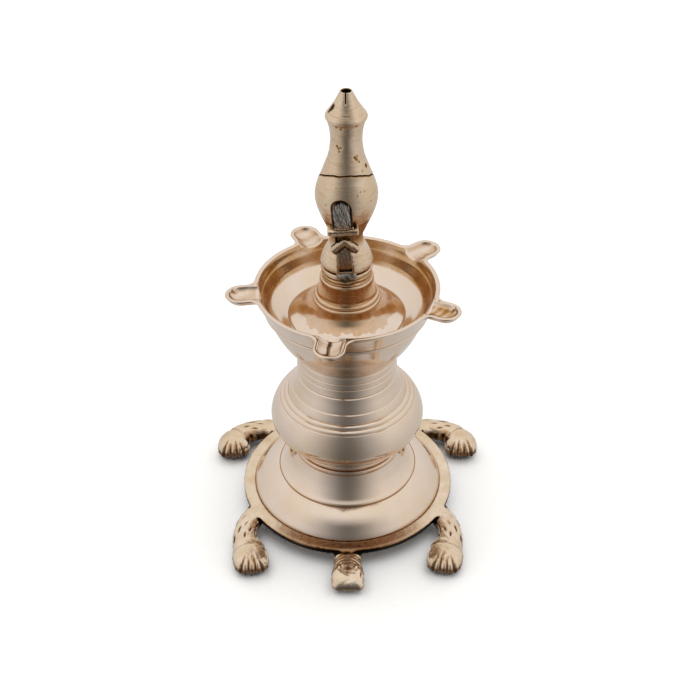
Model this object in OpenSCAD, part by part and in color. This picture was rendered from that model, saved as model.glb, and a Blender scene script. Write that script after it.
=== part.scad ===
// Standing brass oil lamp on a tortoise foot: foot casting, shell dome, vase, five-lip dish,
// collar cone, threaded plug, oil reservoir with a soldered spout, and a plug-in cap.
// Millimetres. +Z is up, the lamp's axis is Z, the tortoise's head points along -Y.

/* [Tortoise foot] */
// Radius of the plate's outer edge
plate_r = 50; // [42:0.5:60]
// Height of the plate's top above the floor
plate_z = 11; // [9:0.5:16]
// Thickness of the plate
plate_t = 3.2; // [2:0.1:5]
// Width of the flat rim left around the dome
rim_w = 5.7; // [4:0.1:9]
// Width of the ledge under the dome's edge
ledge_w = 7.3; // [4:0.1:12]
// How far the head stands out from the plate's edge
head_out = 18; // [12:0.5:24]
// Width of the head across the snout
head_w = 15.2; // [12:0.1:22]
// Width of a leg above its cuff
leg_w = 11.5; // [8:0.5:14]
// Width of a paw
paw_w = 16.5; // [10:0.5:20]
// How far inside the plate's edge line the front paws stand
front_paw_in = 6; // [2:0.5:10]
// How far outside the plate's edge line the back paws stand
back_paw_out = 7; // [4:0.5:12]

/* [Shell dome] */
// Height of the dome from its seat to its top face
dome_h = 23.2; // [18:0.1:30]
// Depth of the seat turned into the plate
seat_d = 1.2; // [0.6:0.1:2]
// Wall thickness of the dome
dome_wall = 2.6; // [1.8:0.1:4]
// Radius of the dome's top face
dome_top_r = 25; // [20:0.5:32]

/* [Vase] */
// Largest radius of the vase
vase_r = 35.2; // [28:0.1:40]
// Height of the vase from the dome to the dish
vase_h = 55.6; // [45:0.1:70]
// Radius of the vase's neck
vase_neck_r = 22.6; // [18:0.1:26]
// Wall thickness of the vase
vase_wall = 3.2; // [2:0.1:5]

/* [Screwed stubs] */
// Radius of the stubs under the vase and the dish
stub_r = 8; // [6:0.1:10]
// Length of the stubs under the vase and the dish
stub_l = 11; // [8:0.5:14]
// Radial running clearance of every stub, plug and spigot
run_gap = 0.05; // [0.02:0.01:0.1]

/* [Dish] */
// Outer radius of the dish's rim
dish_r = 40.5; // [36:0.1:48]
// Height of the dish from the vase to its rim
dish_h = 34.2; // [28:0.1:40]
// Width of a wick lip's outside
lip_w = 13.4; // [10:0.1:16]
// Width of a wick lip's trough
lip_trough_w = 10.2; // [6:0.1:12]
// How far a lip's tip stands out from the rim
lip_out = 12.3; // [8:0.1:16]
// Direction of the lip nearest the head, from the front towards the left
lip_turn = 9; // [0:1:30]

/* [Collar cone] */
// Radius of the cone's edge on the dish floor
cone_r = 25.7; // [20:0.1:30]
// Height of the cone and its collar together
cone_h = 21.6; // [18:0.1:28]
// Outer radius of the collar at its top
collar_r = 11.6; // [10:0.1:14]

/* [Reservoir] */
// Radius of the plug screwed into the collar
plug_r = 8.45; // [6:0.05:9.5]
// Length of that plug
plug_l = 9.2; // [6:0.1:12]
// Length of the bulb's tenon in the plug
tenon_l = 3.4; // [2:0.1:3.5]
// Largest radius of the bulb
bulb_r = 13.15; // [10:0.05:16]
// Wall thickness of the bulb
bulb_wall = 1.8; // [1.2:0.1:3]
// Radius of the cap's spigot
spigot_r = 6.9; // [5:0.1:7.5]
// Radius of the hole in the cap's tip
vent_r = 1.8; // [1:0.1:2]
// Slope of the joint between bulb and cap, higher at the front
joint_slope = 23.9; // [0:0.1:28]

/* [Spout] */
// Width of the spout's cross bar
bar_w = 13.2; // [10:0.1:16]
// Width of the knob on the bulb
knob_w = 8.4; // [5:0.1:10]
// Width of the downward trough
trough_w = 7.2; // [4:0.1:8]
// Sideways tilt of the whole spout
spout_tilt = 3.5; // [0:0.5:8]

/* [Hidden] */
$fn = 96;
eps = 0.01;
brass = [0.86, 0.70, 0.45];
brass_deep = [0.78, 0.58, 0.32];
solder_grey = [0.52, 0.50, 0.47];

// radii of the foot, from the plate's edge inwards
dome_r = plate_r - rim_w;
plate_open_r = dome_r - ledge_w;
head_reach = plate_r + head_out;
kp = plate_r / 50;

// levels of the stack
seat_z = plate_z - seat_d;
dome_top_z = seat_z + dome_h;
vase_top_z = dome_top_z + vase_h;
rim_z = vase_top_z + dish_h;
cone_z = vase_top_z + 18.4;
collar_z = cone_z + cone_h;
ring_z = collar_z + 4;
// reservoir radii scale with the bulb, measured from the bead ring's foot
kb = bulb_r / 13.15;
tenon_r = plug_r - 2.45;
joint_z = ring_z + 44.5;
cap_top_z = ring_z + 81.9;
paw_z = 4.6;

function scaled(points, kr, z0) = [for (p = points) [p[0] * kr, p[1] + z0]];

module turned(points) {
    rotate_extrude($fn = 128)
        polygon(points);
}

// A limb or head: elliptical sections along a curve, [x, y, z, width, height] each.
module limb(sections, n = 18) {
    last = len(sections) - 1;
    points = [
        for (i = [0 : last])
            let (
                a = sections[max(i - 1, 0)],
                b = sections[min(i + 1, last)],
                s = sections[i],
                dx = b[0] - a[0],
                dy = b[1] - a[1],
                d = max(norm([dx, dy]), 0.001),
                side = [-dy / d, dx / d]
            )
            for (k = [0 : n - 1])
                let (
                    c = cos(360 * k / n),
                    h = sin(360 * k / n)
                )
                [
                    s[0] + side[0] * c * s[3] / 2,
                    s[1] + side[1] * c * s[3] / 2,
                    s[2] + h * s[4] / 2
                ]
    ];
    sides = [
        for (i = [0 : last - 1])
            for (k = [0 : n - 1])
                for (t = [0 : 1])
                    t == 0
                        ? [i * n + k, (i + 1) * n + k, i * n + (k + 1) % n]
                        : [i * n + (k + 1) % n, (i + 1) * n + k, (i + 1) * n + (k + 1) % n]
    ];
    start = [[for (k = [0 : n - 1]) k]];
    end = [[for (k = [n - 1 : -1 : 0]) last * n + k]];
    polyhedron(points = points, faces = concat(sides, start, end), convexity = 4);
}

module front_leg() {
    x = plate_r - front_paw_in;
    y = -30 * kp;
    limb([
        [x - 7 * kp, y / 2, plate_z - 3.2, leg_w * 0.9, 4.6],
        [x - 1.5 * kp, y * 0.75, plate_z - 3.4, leg_w * 1.05, 6.2],
        [x + 2.4, y, 6.9, leg_w, 8.2],
        [x + 3.4, y - 6, 6.4, leg_w * 1.02, 9],
        [x + 2.6, y - 11.5, 6, leg_w * 1.12, 9.6],
        [x + 1.4, y - 14.6, paw_z + 0.3, paw_w * 0.93, 10.4],
        [x + 0.6, y - 18.2, paw_z, paw_w, 10.6],
        [x, y - 22, paw_z - 0.2, paw_w * 0.97, 10],
        [x - 0.2, y - 25.2, paw_z - 0.7, paw_w * 0.8, 8.2],
        [x - 0.4, y - 27.4, paw_z - 1.3, paw_w * 0.45, 4.8]
    ]);
}

module back_leg() {
    x = plate_r + back_paw_out;
    y = 38.8 * kp;
    limb([
        [x - 31 * kp, y - 4.3 * kp, plate_z - 3.2, leg_w * 0.9, 4.6],
        [x - 23 * kp, y - kp, plate_z - 3.2, leg_w * 1.05, 6.2],
        [x - 15, y, 7, leg_w, 8.2],
        [x - 8, y - 1.5, 6.6, leg_w, 9],
        [x - 3, y - 4, 6.2, leg_w * 1.08, 9.6],
        [x - 0.8, y - 6.6, paw_z + 0.3, paw_w * 0.9, 10.4],
        [x, y - 9.4, paw_z, paw_w, 10.6],
        [x + 0.2, y - 12.4, paw_z - 0.2, paw_w * 0.97, 10],
        [x + 0.2, y - 15.2, paw_z - 0.7, paw_w * 0.8, 8.2],
        [x + 0.1, y - 17, paw_z - 1.3, paw_w * 0.45, 4.8]
    ]);
}

module head() {
    limb([
        [0, 6 - plate_r, plate_z - 3.4, head_w * 0.84, 4.4],
        [0, 0.5 - plate_r, plate_z - 3.8, head_w * 0.84, 6],
        [0, -plate_r - head_out * 0.194, 6.4, head_w * 0.84, 8],
        [0, -plate_r - head_out * 0.4, 6, head_w * 0.9, 9],
        [0, -head_reach + 6.4, 5.6, head_w, 8.8],
        [0, -head_reach + 3, 5, head_w * 0.98, 7.4],
        [0, -head_reach + 1, 4.4, head_w * 0.86, 5.4],
        [0, -head_reach, 4, head_w * 0.64, 3.2]
    ]);
}

module tail() {
    limb([
        [0, plate_r - 6, plate_z - 3.4, 12, 4.4],
        [0, plate_r, plate_z - 3.6, 10, 5.6],
        [0, plate_r + head_out / 3, 6.6, 7.4, 5.6],
        [0, plate_r + head_out * 2 / 3, 5.6, 5, 4.4],
        [0, head_reach - 1.4, 4.6, 2.8, 2.8],
        [0, head_reach, 4.2, 1.4, 1.4]
    ]);
}

module tortoise_plate() {
    color(brass_deep)
    difference() {
        union() {
            turned([
                [plate_open_r, plate_z - plate_t],
                [plate_r - 1, plate_z - plate_t],
                [plate_r, plate_z - plate_t + 0.8],
                [plate_r, plate_z - 0.6],
                [plate_r - 0.6, plate_z],
                [plate_open_r, plate_z]
            ]);
            for (m = [0 : 1])
                mirror([m, 0, 0]) {
                    front_leg();
                    back_leg();
                }
            head();
            tail();
        }
        translate([0, 0, seat_z])
            cylinder(r = dome_r + 0.3, h = 20);
        translate([-100, -100, -20])
            cube([200, 200, 20]);
        translate([0, 0, -1])
            cylinder(r = plate_open_r, h = 30);
    }
}

module shell_dome() {
    k = dome_r / 44.3;
    t = dome_top_r;
    z = seat_z;
    h = dome_h;
    w = dome_wall;
    color(brass)
    turned([
        [stub_r + run_gap, z + h],
        [stub_r + run_gap, z + h - stub_l - 1],
        [stub_r + 4, z + h - stub_l - 1],
        [stub_r + 5, z + h - w - 1],
        [t - w - 1.2, z + h - w - 0.6],
        [t - w + 1.4, z + h * 0.62],
        [32.2 * k - w, z + h * 0.40],
        [37 * k - w, z + h * 0.29],
        [41 * k - w, z + h * 0.13],
        [42.6 * k - w, z],
        [dome_r, z],
        [dome_r, z + 1.6],
        [43.7 * k, z + 2.6],
        [42.3 * k, z + h * 0.192],
        [40.2 * k, z + h * 0.29],
        [37.6 * k, z + h * 0.38],
        [34.8 * k, z + h * 0.452],
        [32.9 * k, z + h * 0.49],
        [32.2 * k, z + h * 0.492],
        [31.7 * k, z + h * 0.516],
        [30.2 * k, z + h * 0.57],
        [28.5 * k, z + h * 0.65],
        [27 * k, z + h * 0.74],
        [t + 1, z + h * 0.84],
        [t + 0.3, z + h * 0.92],
        [t, z + h * 0.95],
        [t, z + h]
    ]);
}

module vase_body() {
    k = vase_r / 35.2;
    n = vase_neck_r;
    z = dome_top_z;
    top = vase_top_z;
    w = vase_wall;
    s = vase_h / 55.6;
    color(brass)
    difference() {
        turned([
            [0, z - stub_l],
            [stub_r - 0.8, z - stub_l],
            [stub_r, z - stub_l + 0.8],
            [stub_r, z],
            [24.6 * k, z],
            [25 * k, z + 0.4],
            [25 * k, z + 1.8],
            [24.5 * k, z + 2.4],
            [23.6 * k, z + 2.5],
            [23.6 * k, z + 3],
            [24.5 * k, z + 3.2],
            [24.7 * k, z + 4.2],
            [24.2 * k, z + 5.2],
            [23 * k, z + 5.5],
            [22.6 * k, z + 6.6],
            [23.1 * k, z + 7.6],
            [26 * k, z + 8.4 * s],
            [29.2 * k, z + 10 * s],
            [32 * k, z + 12.4 * s],
            [34 * k, z + 15.4 * s],
            [35 * k, z + 18.6 * s],
            [vase_r, z + 19.8 * s],
            [35.1 * k, z + 21.2 * s],
            [34.6 * k, z + 23.4 * s],
            [33.7 * k, z + 25.8 * s],
            [32.5 * k, z + 28 * s],
            [31.4 * k, z + 29.5 * s],
            [30.8 * k, z + 29.7 * s],
            [30.6 * k, z + 30.4 * s],
            [29.6 * k, z + 31.3 * s],
            [28.9 * k, z + 31.5 * s],
            [28.6 * k, z + 32.2 * s],
            [27.7 * k, z + 32.9 * s],
            [27 * k, z + 33.1 * s],
            [26.6 * k, z + 34 * s],
            [25.6 * k, z + 36.4 * s],
            [25 * k, z + 37 * s],
            [24.1 * k, z + 38.8 * s],
            [n + 0.4, z + 41.4 * s],
            [n - 0.1, z + 43.4 * s],
            [n - 0.5, z + 43.9 * s],
            [n, z + 44.4 * s],
            [n, z + 48.2 * s],
            [n - 0.5, z + 48.6 * s],
            [n, z + 49 * s],
            [n + 0.05, z + 51.4 * s],
            [n - 0.45, z + 51.8 * s],
            [n + 0.05, z + 52.2 * s],
            [n + 0.1, z + 54.5 * s],
            [n - 0.3, top],
            [0, top]
        ]);
        turned([
            [0, z + 4.4],
            [18 * k, z + 4.4],
            [19.4 * k, z + 8],
            [28.5 * k - w + 2, z + 12.6 * s],
            [vase_r - w, z + 19.8 * s],
            [33 * k - w, z + 25.4 * s],
            [29.5 * k - w, z + 31 * s],
            [25 * k - w, z + 36.4 * s],
            [n - w - 0.6, z + 43 * s],
            [n - w - 0.6, top - 6],
            [0, top - 6]
        ]);
        translate([0, 0, top - 7])
            cylinder(r = stub_r + run_gap, h = 8);
    }
}

lip_angles = [for (a = [0, 73.8, 138.4, 213.4, 287]) -90 - lip_turn + a];
lip_c = dish_r + lip_out - sqrt(pow(lip_w / 2 + 0.3, 2) - 4);

module lip_solid() {
    r = lip_w / 2 + 0.3;
    intersection() {
        translate([0, 0, rim_z + 2])
            union() {
                translate([lip_c, 0, 0])
                    sphere(r = r);
                translate([dish_r - 6, 0, 0])
                    rotate([0, 90, 0])
                        cylinder(r = r, h = lip_c - dish_r + 6);
            }
        translate([dish_r - 3.2, -20, rim_z - 12])
            cube([30, 40, 12]);
    }
}

module lip_hollow() {
    r = lip_trough_w / 2 + 0.4;
    translate([lip_c, 0, rim_z + 2])
        sphere(r = r);
    translate([dish_r - 8, 0, rim_z + 2])
        rotate([0, 90, 0])
            cylinder(r = r, h = lip_c - dish_r + 8);
}

module dish_inside() {
    k = dish_r / 40.5;
    c = cone_r;
    w = 34.6 * k - c;
    turned([
        [0, rim_z + 1],
        [0, cone_z],
        [c + 0.05, cone_z],
        [c + 0.05, cone_z + 1.2],
        [c + w * 0.146, rim_z - 14.1],
        [c + w * 0.371, rim_z - 13.1],
        [c + w * 0.652, rim_z - 11.8],
        [c + w * 0.865, rim_z - 10.6],
        [34.6 * k, rim_z - 9.2],
        [35.4 * k, rim_z - 7.4],
        [36.4 * k, rim_z - 5],
        [37.3 * k, rim_z - 3],
        [38 * k, rim_z - 0.9],
        [38.6 * k, rim_z - 0.2],
        [38.8 * k, rim_z + 1]
    ]);
}

module oil_dish() {
    k = dish_r / 40.5;
    z = vase_top_z;
    color(brass)
    difference() {
        union() {
            turned([
                [0, z - stub_l],
                [stub_r - 0.8, z - stub_l],
                [stub_r, z - stub_l + 0.8],
                [stub_r, z],
                [22.6 * k, z],
                [23.3 * k, z + 1.2],
                [25.8 * k, z + 4.6],
                [28.4 * k, z + 8.1],
                [30.8 * k, z + 12.2],
                [32.9 * k, z + 16.8],
                [34.5 * k, z + 20.8],
                [35.4 * k, z + 23],
                [36.1 * k, z + 23.3],
                [36.5 * k, z + 23.8],
                [36.3 * k, z + 24.5],
                [36.6 * k, z + 25],
                [38.3 * k, z + 28.8],
                [39.9 * k, rim_z - 1.8],
                [dish_r, rim_z - 0.7],
                [dish_r, rim_z - 0.3],
                [dish_r - 0.4, rim_z],
                [0, rim_z]
            ]);
            for (a = lip_angles)
                rotate([0, 0, a])
                    lip_solid();
        }
        dish_inside();
        for (a = lip_angles)
            rotate([0, 0, a])
                lip_hollow();
        // pocket under the cone, which lightens the casting
        turned([
            [stub_r + 4, cone_z + 1],
            [stub_r + 4, z + 6],
            [19.5 * k, z + 7.4],
            [22.2 * k, z + 12],
            [cone_r - 2.8, cone_z - 2.4],
            [cone_r - 2.6, cone_z - 1.6],
            [cone_r - 2.6, cone_z + 1]
        ]);
    }
}

module collar_cone() {
    z = cone_z;
    h = cone_h;
    c = collar_r;
    w = cone_r - c;
    color(brass)
    turned([
        [plug_r + run_gap, z + h],
        [plug_r + run_gap, z + h - plug_l - 1],
        [plug_r - 2, z + h - plug_l - 1],
        [plug_r - 2, z + 3],
        [cone_r - 5, z],
        [cone_r, z],
        [cone_r, z + 1.3],
        [cone_r - 0.5, z + 1.65],
        [cone_r - 2.5, z + 2.3],
        [c + w * 0.667, z + 3.2],
        [c + w * 0.518, z + 4.5],
        [c + w * 0.397, z + 6],
        [c + w * 0.312, z + 7.8],
        [c + w * 0.262, z + 9.6],
        [c + w * 0.234, z + 11.2],
        [c + 2.45, z + 11.5],
        [c + 2.65, z + 12.1],
        [c + 2.3, z + 12.8],
        [c + 1.4, z + 13.2],
        [c + 0.6, z + 16],
        [c + 0.1, z + h - 1.4],
        [c - 0.1, z + h - 0.4],
        [c - 0.5, z + h]
    ]);
}

module reservoir_plug() {
    z = collar_z;
    color(brass)
    difference() {
        turned([
            [0, z - plug_l],
            [plug_r - 0.7, z - plug_l],
            [plug_r, z - plug_l + 0.7],
            [plug_r, z],
            [plug_r + 1.95, z],
            [plug_r + 2.35, z + 0.4],
            [plug_r + 2.05, z + 0.9],
            [plug_r + 1.05, z + 1],
            [plug_r + 1.05, z + 1.5],
            [plug_r + 2.15, z + 1.6],
            [plug_r + 2.45, z + 2.1],
            [plug_r + 2.15, z + 2.6],
            [plug_r + 1.15, z + 2.7],
            [plug_r + 1.15, z + 3.1],
            [plug_r + 2.25, z + 3.2],
            [plug_r + 2.45, z + 3.6],
            [plug_r + 2.25, ring_z],
            [0, ring_z]
        ]);
        translate([0, 0, ring_z - tenon_l - 0.4])
            cylinder(r = tenon_r + run_gap, h = tenon_l + 1);
    }
}

// outside of the bulb and the cap as one shape, from the bead ring's foot to the tip
outside = [
    [10.8, 0], [11.15, 0.5], [11.15, 1.2], [10.8, 1.7], [10.1, 1.9], [10.1, 2.6],
    [11.1, 2.8], [11.3, 3.4], [11.2, 4.4], [10.7, 5.9], [9.9, 8.1], [8.9, 10.2],
    [7.9, 12.3], [7.2, 14.3], [6.9, 16], [7.1, 17.8], [7.9, 19.5], [9.1, 22.4],
    [10.4, 25.4], [11.5, 28.2], [12.4, 31], [12.9, 33.2], [13.15, 35.4], [13.0, 37.6],
    [12.6, 39.6], [12, 41.6], [11.2, 43.9], [10.3, 46], [9.3, 48.8], [8.4, 51.2],
    [7.5, 53.9], [6.9, 57], [6.6, 59.6], [6.52, 61.2], [6.6, 63], [6.9, 65.6],
    [7.3, 67.6], [7.9, 69.4], [8.5, 70.6], [8.6, 71.2], [8.3, 72], [6.66, 74.3],
    [5.5, 76], [4.3, 78.1], [3.2, 80.1], [(vent_r + 0.7) / kb, 81.6], [(vent_r + 0.4) / kb, 81.9]
];

module outside_turned(z0) {
    turned(concat([[0, z0]], scaled(outside, kb, z0), [[0, z0 + 81.9]]));
}

module above_joint(z) {
    translate([0, 0, z])
        rotate([-joint_slope, 0, 0])
            translate([-60, -60, 0])
                cube([120, 120, 120]);
}

module reservoir_bowl() {
    z = ring_z;
    w = bulb_wall;
    color(brass)
    difference() {
        union() {
            difference() {
                outside_turned(z);
                above_joint(joint_z);
            }
            translate([0, 0, z - tenon_l])
                cylinder(r = tenon_r, h = tenon_l + 1.5);
        }
        turned([
            [0, z + 19],
            [3.6 * kb, z + 20],
            [9.1 * kb - w, z + 24.6],
            [11.5 * kb - w, z + 29.4],
            [13 * kb - w, z + 34],
            [13 * kb - w, z + 36],
            [spigot_r + run_gap, z + 38.4],
            [spigot_r + run_gap, z + 60],
            [0, z + 60]
        ]);
        // feed hole behind the spout's knob
        translate([0, 0, z + 26.4])
            rotate([90, 0, 0])
                cylinder(r = 1.2, h = 30, $fn = 32);
    }
}

module reservoir_cap() {
    z = ring_z;
    color(brass)
    difference() {
        union() {
            intersection() {
                outside_turned(z);
                above_joint(joint_z + 0.25);
            }
            translate([0, 0, z + 38.6])
                cylinder(r = spigot_r, h = 11.4);
        }
        turned([
            [0, z + 38],
            [spigot_r - 1.6, z + 38],
            [spigot_r - 1.6, z + 50],
            [4.6 * kb, z + 58],
            [4.6 * kb, z + 66],
            [5.4 * kb, z + 70],
            [vent_r, z + 77],
            [vent_r, z + 83],
            [0, z + 83]
        ]);
        // pinched slit that runs down from the vent
        translate([-0.35, -8, z + 78.4])
            cube([0.7, 8, 6]);
    }
}

// the spout's pieces, seen from the front: knob, cross bar, gable arms, trough

module spout_knob() {
    intersection() {
        union() {
            translate([0, 0, 40 - knob_w / 2])
                rotate([90, 0, 0])
                    cylinder(r = knob_w / 2, h = 20);
            translate([-knob_w / 2, -20, 24])
                cube([knob_w, 20, 16 - knob_w / 2]);
        }
        turned([
            [6.5 * kb, 20],
            [9.4 * kb, 21],
            [12.2 * kb, 24],
            [14 * kb, 29],
            [14.6 * kb, 35.5],
            [14.3 * kb, 38.4],
            [13.5 * kb, 40.6],
            [11.6 * kb, 41.2],
            [11.4 * kb, 38.5],
            [11.6 * kb, 33.5],
            [10.6 * kb, 29],
            [8 * kb, 23]
        ]);
    }
}

module spout_bar() {
    y = -13.6 * kb;
    translate([-bar_w / 2 + 1.7, y, 24.6])
        rotate([-90, 0, 0])
            cylinder(r = 1.7, h = 6.8 * kb, $fn = 48);
    translate([-bar_w / 2 + 1.7, y, 23.1])
        cube([bar_w - 1.7, 6.8 * kb, 3]);
    translate([-bar_w / 2 + 3.4, y + 0.8, 24])
        cube([bar_w - 5.6, 4 * kb, 2.9]);
    // stem from the bar down to the gable
    translate([-3.7, y + 1.4, 17.6])
        cube([7.4, 5.2 * kb, 6.4]);
}

module spout_arms() {
    for (s = [-1, 1])
        translate([0.3, -14.8 * kb, 20.4])
            rotate([0, s * 50, 0])
                translate([-1.1, 0, -7.2])
                    cube([2.2, 4.6, 7.9]);
}

module spout_trough() {
    w = trough_w;
    y = -11.2 * kb - 3;
    difference() {
        translate([-w / 2, y, 4.4])
            cube([w, 3.4, 15.2]);
        translate([0, y - 0.2, 3.4])
            cylinder(r = w / 2 - 1, h = 12.4, $fn = 48);
    }
}

module feed_spout() {
    color(brass_deep)
    translate([0, 0, ring_z])
        rotate([0, -spout_tilt, 0]) {
            spout_knob();
            spout_bar();
            spout_arms();
            spout_trough();
        }
}

module spout_solder() {
    color(solder_grey)
    translate([0, 0, ring_z])
        rotate([0, -spout_tilt, 0])
            limb([
                [-4.1, -11.2 * kb, 2.4, 1.2, 1.4],
                [-3.6, -11.4 * kb, 2.5, 2.6, 2.8],
                [-2.4, -11.7 * kb, 2.8, 3.8, 4.2],
                [-0.8, -12 * kb, 3.1, 4.6, 5.2],
                [0.8, -12.1 * kb, 3.1, 4.7, 5.2],
                [2.2, -11.8 * kb, 2.7, 4.1, 4.4],
                [3.4, -11.5 * kb, 2.4, 3, 3.2],
                [4.2, -11.2 * kb, 2.3, 1.2, 1.4]
            ]);
}

tortoise_plate();
shell_dome();
vase_body();
oil_dish();
collar_cone();
reservoir_plug();
reservoir_bowl();
feed_spout();
spout_solder();
reservoir_cap();
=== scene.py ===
import math
import bpy
import numpy as np
from mathutils import Vector, Matrix


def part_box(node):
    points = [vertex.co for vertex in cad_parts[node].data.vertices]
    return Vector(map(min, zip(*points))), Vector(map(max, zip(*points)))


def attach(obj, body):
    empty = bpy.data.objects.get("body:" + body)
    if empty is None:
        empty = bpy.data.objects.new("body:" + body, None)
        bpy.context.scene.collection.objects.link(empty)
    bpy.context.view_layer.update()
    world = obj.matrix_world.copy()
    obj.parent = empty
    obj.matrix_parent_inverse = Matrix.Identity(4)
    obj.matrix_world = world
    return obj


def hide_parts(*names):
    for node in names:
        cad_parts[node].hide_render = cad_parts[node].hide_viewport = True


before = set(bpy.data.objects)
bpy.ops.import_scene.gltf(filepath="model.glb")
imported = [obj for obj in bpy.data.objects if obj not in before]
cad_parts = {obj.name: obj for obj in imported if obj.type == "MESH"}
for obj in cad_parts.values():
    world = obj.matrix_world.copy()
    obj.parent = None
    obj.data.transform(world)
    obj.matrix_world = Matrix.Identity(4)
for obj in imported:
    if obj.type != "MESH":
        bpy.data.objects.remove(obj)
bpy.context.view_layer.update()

# Brass standing oil lamp on a tortoise foot. Shapes are worked out in millimetres and put down in metres.
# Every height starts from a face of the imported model, so the pieces sit where the joints expect them.
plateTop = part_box("tortoise_plate")[1][2] * 1000
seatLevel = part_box("shell_dome")[0][2] * 1000
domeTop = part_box("shell_dome")[1][2] * 1000
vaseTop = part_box("vase_body")[1][2] * 1000
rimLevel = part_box("oil_dish")[1][2] * 1000
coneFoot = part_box("collar_cone")[0][2] * 1000
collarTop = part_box("collar_cone")[1][2] * 1000
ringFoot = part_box("reservoir_plug")[1][2] * 1000
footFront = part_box("tortoise_plate")[0][1] * 1000
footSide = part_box("tortoise_plate")[1][0] * 1000
plateRadius = 50.0


def gauss(x, width):
    return np.exp(-(x / width) ** 2)  # bell curve of a given half width


def step(x, low, high):
    t = np.clip((x - low) / (high - low), 0, 1)  # smooth 0 to 1 ramp
    return t * t * (3 - 2 * t)


def softMin(a, b, k):
    h = np.clip(0.5 + 0.5 * (b - a) / k, 0, 1)  # the smaller of two heights with a fillet k wide
    return b + (a - b) * h - k * h * (1 - h)


def curveThrough(points, spacing=0.1):
    # centripetal Catmull-Rom curve through the points, all spans evaluated as one array
    p = np.asarray(points, float)
    if len(p) == 2:
        count = max(2, int(np.linalg.norm(p[1] - p[0]) / spacing))
        return p[0] + (p[1] - p[0]) * np.linspace(0, 1, count)[:, None]
    e = np.vstack([2 * p[0] - p[1], p, 2 * p[-1] - p[-2]])
    a, b, c, d = e[:-3], e[1:-2], e[2:-1], e[3:]
    knots = [np.maximum(np.linalg.norm(v - u, axis=1), 1e-6)[:, None, None] ** 0.5
             for u, v in ((a, b), (b, c), (c, d))]
    t1, t2, t3 = knots[0], knots[0] + knots[1], knots[0] + knots[1] + knots[2]
    count = max(4, int(np.linalg.norm(c - b, axis=1).max() / spacing))
    t = t1 + (t2 - t1) * np.linspace(0, 1, count, endpoint=False)[None, :, None]
    a, b, c, d = (q[:, None, :] for q in (a, b, c, d))
    a1 = a + (b - a) * t / t1
    a2 = b + (c - b) * (t - t1) / (t2 - t1)
    a3 = c + (d - c) * (t - t2) / (t3 - t2)
    b1 = a1 + (a2 - a1) * t / t2
    b2 = a2 + (a3 - a2) * (t - t1) / (t3 - t1)
    return np.vstack([(b1 + (b2 - b1) * (t - t1) / (t2 - t1)).reshape(-1, p.shape[1]), p[-1:]])


def arcLength(line):
    return np.concatenate([[0], np.cumsum(np.linalg.norm(np.diff(line, axis=0), axis=1))])


def resample(line, count=None, spacing=0.05):
    s = arcLength(line)
    count = count or max(3, int(s[-1] / spacing))
    at = np.linspace(0, s[-1], count)
    return np.stack([np.interp(at, s, line[:, k]) for k in range(line.shape[1])], 1)


def profile(spans, count, rounding=0.22):
    # spans meet at corners, and each one after the first starts where the one before it ended; the line is
    # resampled evenly, its corners rounded by a short running mean, and then thinned so that points crowd
    # where the line bends
    spans = [spans[0]] + [[before[-1]] + span for before, span in zip(spans, spans[1:])]
    line = resample(np.vstack([curveThrough(span) for span in spans]), spacing=0.05)
    half = max(1, int(rounding / 0.05 / 2))
    kernel = np.ones(2 * half + 1) / (2 * half + 1)
    for again in range(2):
        padded = np.pad(line, ((half, half), (0, 0)), mode="reflect", reflect_type="odd")
        line = np.stack([np.convolve(padded[:, k], kernel, "valid") for k in range(2)], 1)
    edge = np.diff(line, axis=0)
    heading = np.unwrap(np.arctan2(edge[:, 1], edge[:, 0]))
    bend = np.concatenate([[0], np.abs(np.diff(heading)), [0]])
    weight = 0.05 / 1.6 + bend * 3.2
    total = np.concatenate([[0], np.cumsum((weight[1:] + weight[:-1]) / 2)])
    at = np.linspace(0, total[-1], count)
    out = np.stack([np.interp(at, total, line[:, k]) for k in range(2)], 1)
    turn = np.concatenate([[0], np.diff(heading), [0]])
    # concave corners, for the patina: the left turns summed over nine neighbours
    hollow = np.convolve(np.clip(-turn, 0, None), np.ones(9) / 9, "same") * 9
    return out, np.interp(at, total, np.clip(hollow * 1.2, 0, 1))


def putMesh(name, verts, quads, tris=None, crevice=None):
    # vertices in millimetres, faces as index arrays, an optional value for each vertex of patina and painted
    # shade
    mesh = bpy.data.meshes.new(name)
    tris = np.zeros((0, 3), int) if tris is None else tris
    mesh.vertices.add(len(verts))
    mesh.vertices.foreach_set("co", (np.asarray(verts) * 0.001).astype(np.float32).ravel())
    corners = np.concatenate([quads.ravel(), tris.ravel()]).astype(np.int32)
    starts = np.concatenate([np.arange(len(quads)) * 4, len(quads) * 4 + np.arange(len(tris)) * 3])
    mesh.loops.add(len(corners))
    mesh.loops.foreach_set("vertex_index", corners)
    mesh.polygons.add(len(starts))
    mesh.polygons.foreach_set("loop_start", starts.astype(np.int32))
    mesh.update(calc_edges=True)
    mesh.polygons.foreach_set("use_smooth", np.ones(len(starts), bool))
    values = np.zeros(len(verts)) if crevice is None else crevice
    mesh.attributes.new("crevice", "FLOAT", "POINT").data.foreach_set("value", values.astype(np.float32))
    mesh.validate()
    piece = bpy.data.objects.new(name, mesh)
    bpy.context.scene.collection.objects.link(piece)
    return piece


def gridFaces(rows, cols, closeRows=False, start=0):
    i = np.arange(rows if closeRows else rows - 1)[:, None]
    j = np.arange(cols)[None, :]
    ni, nj = (i + 1) % rows, (j + 1) % cols
    quad = np.stack([i * cols + j, i * cols + nj, ni * cols + nj, ni * cols + j], -1)
    return quad.reshape(-1, 4) + start


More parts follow.
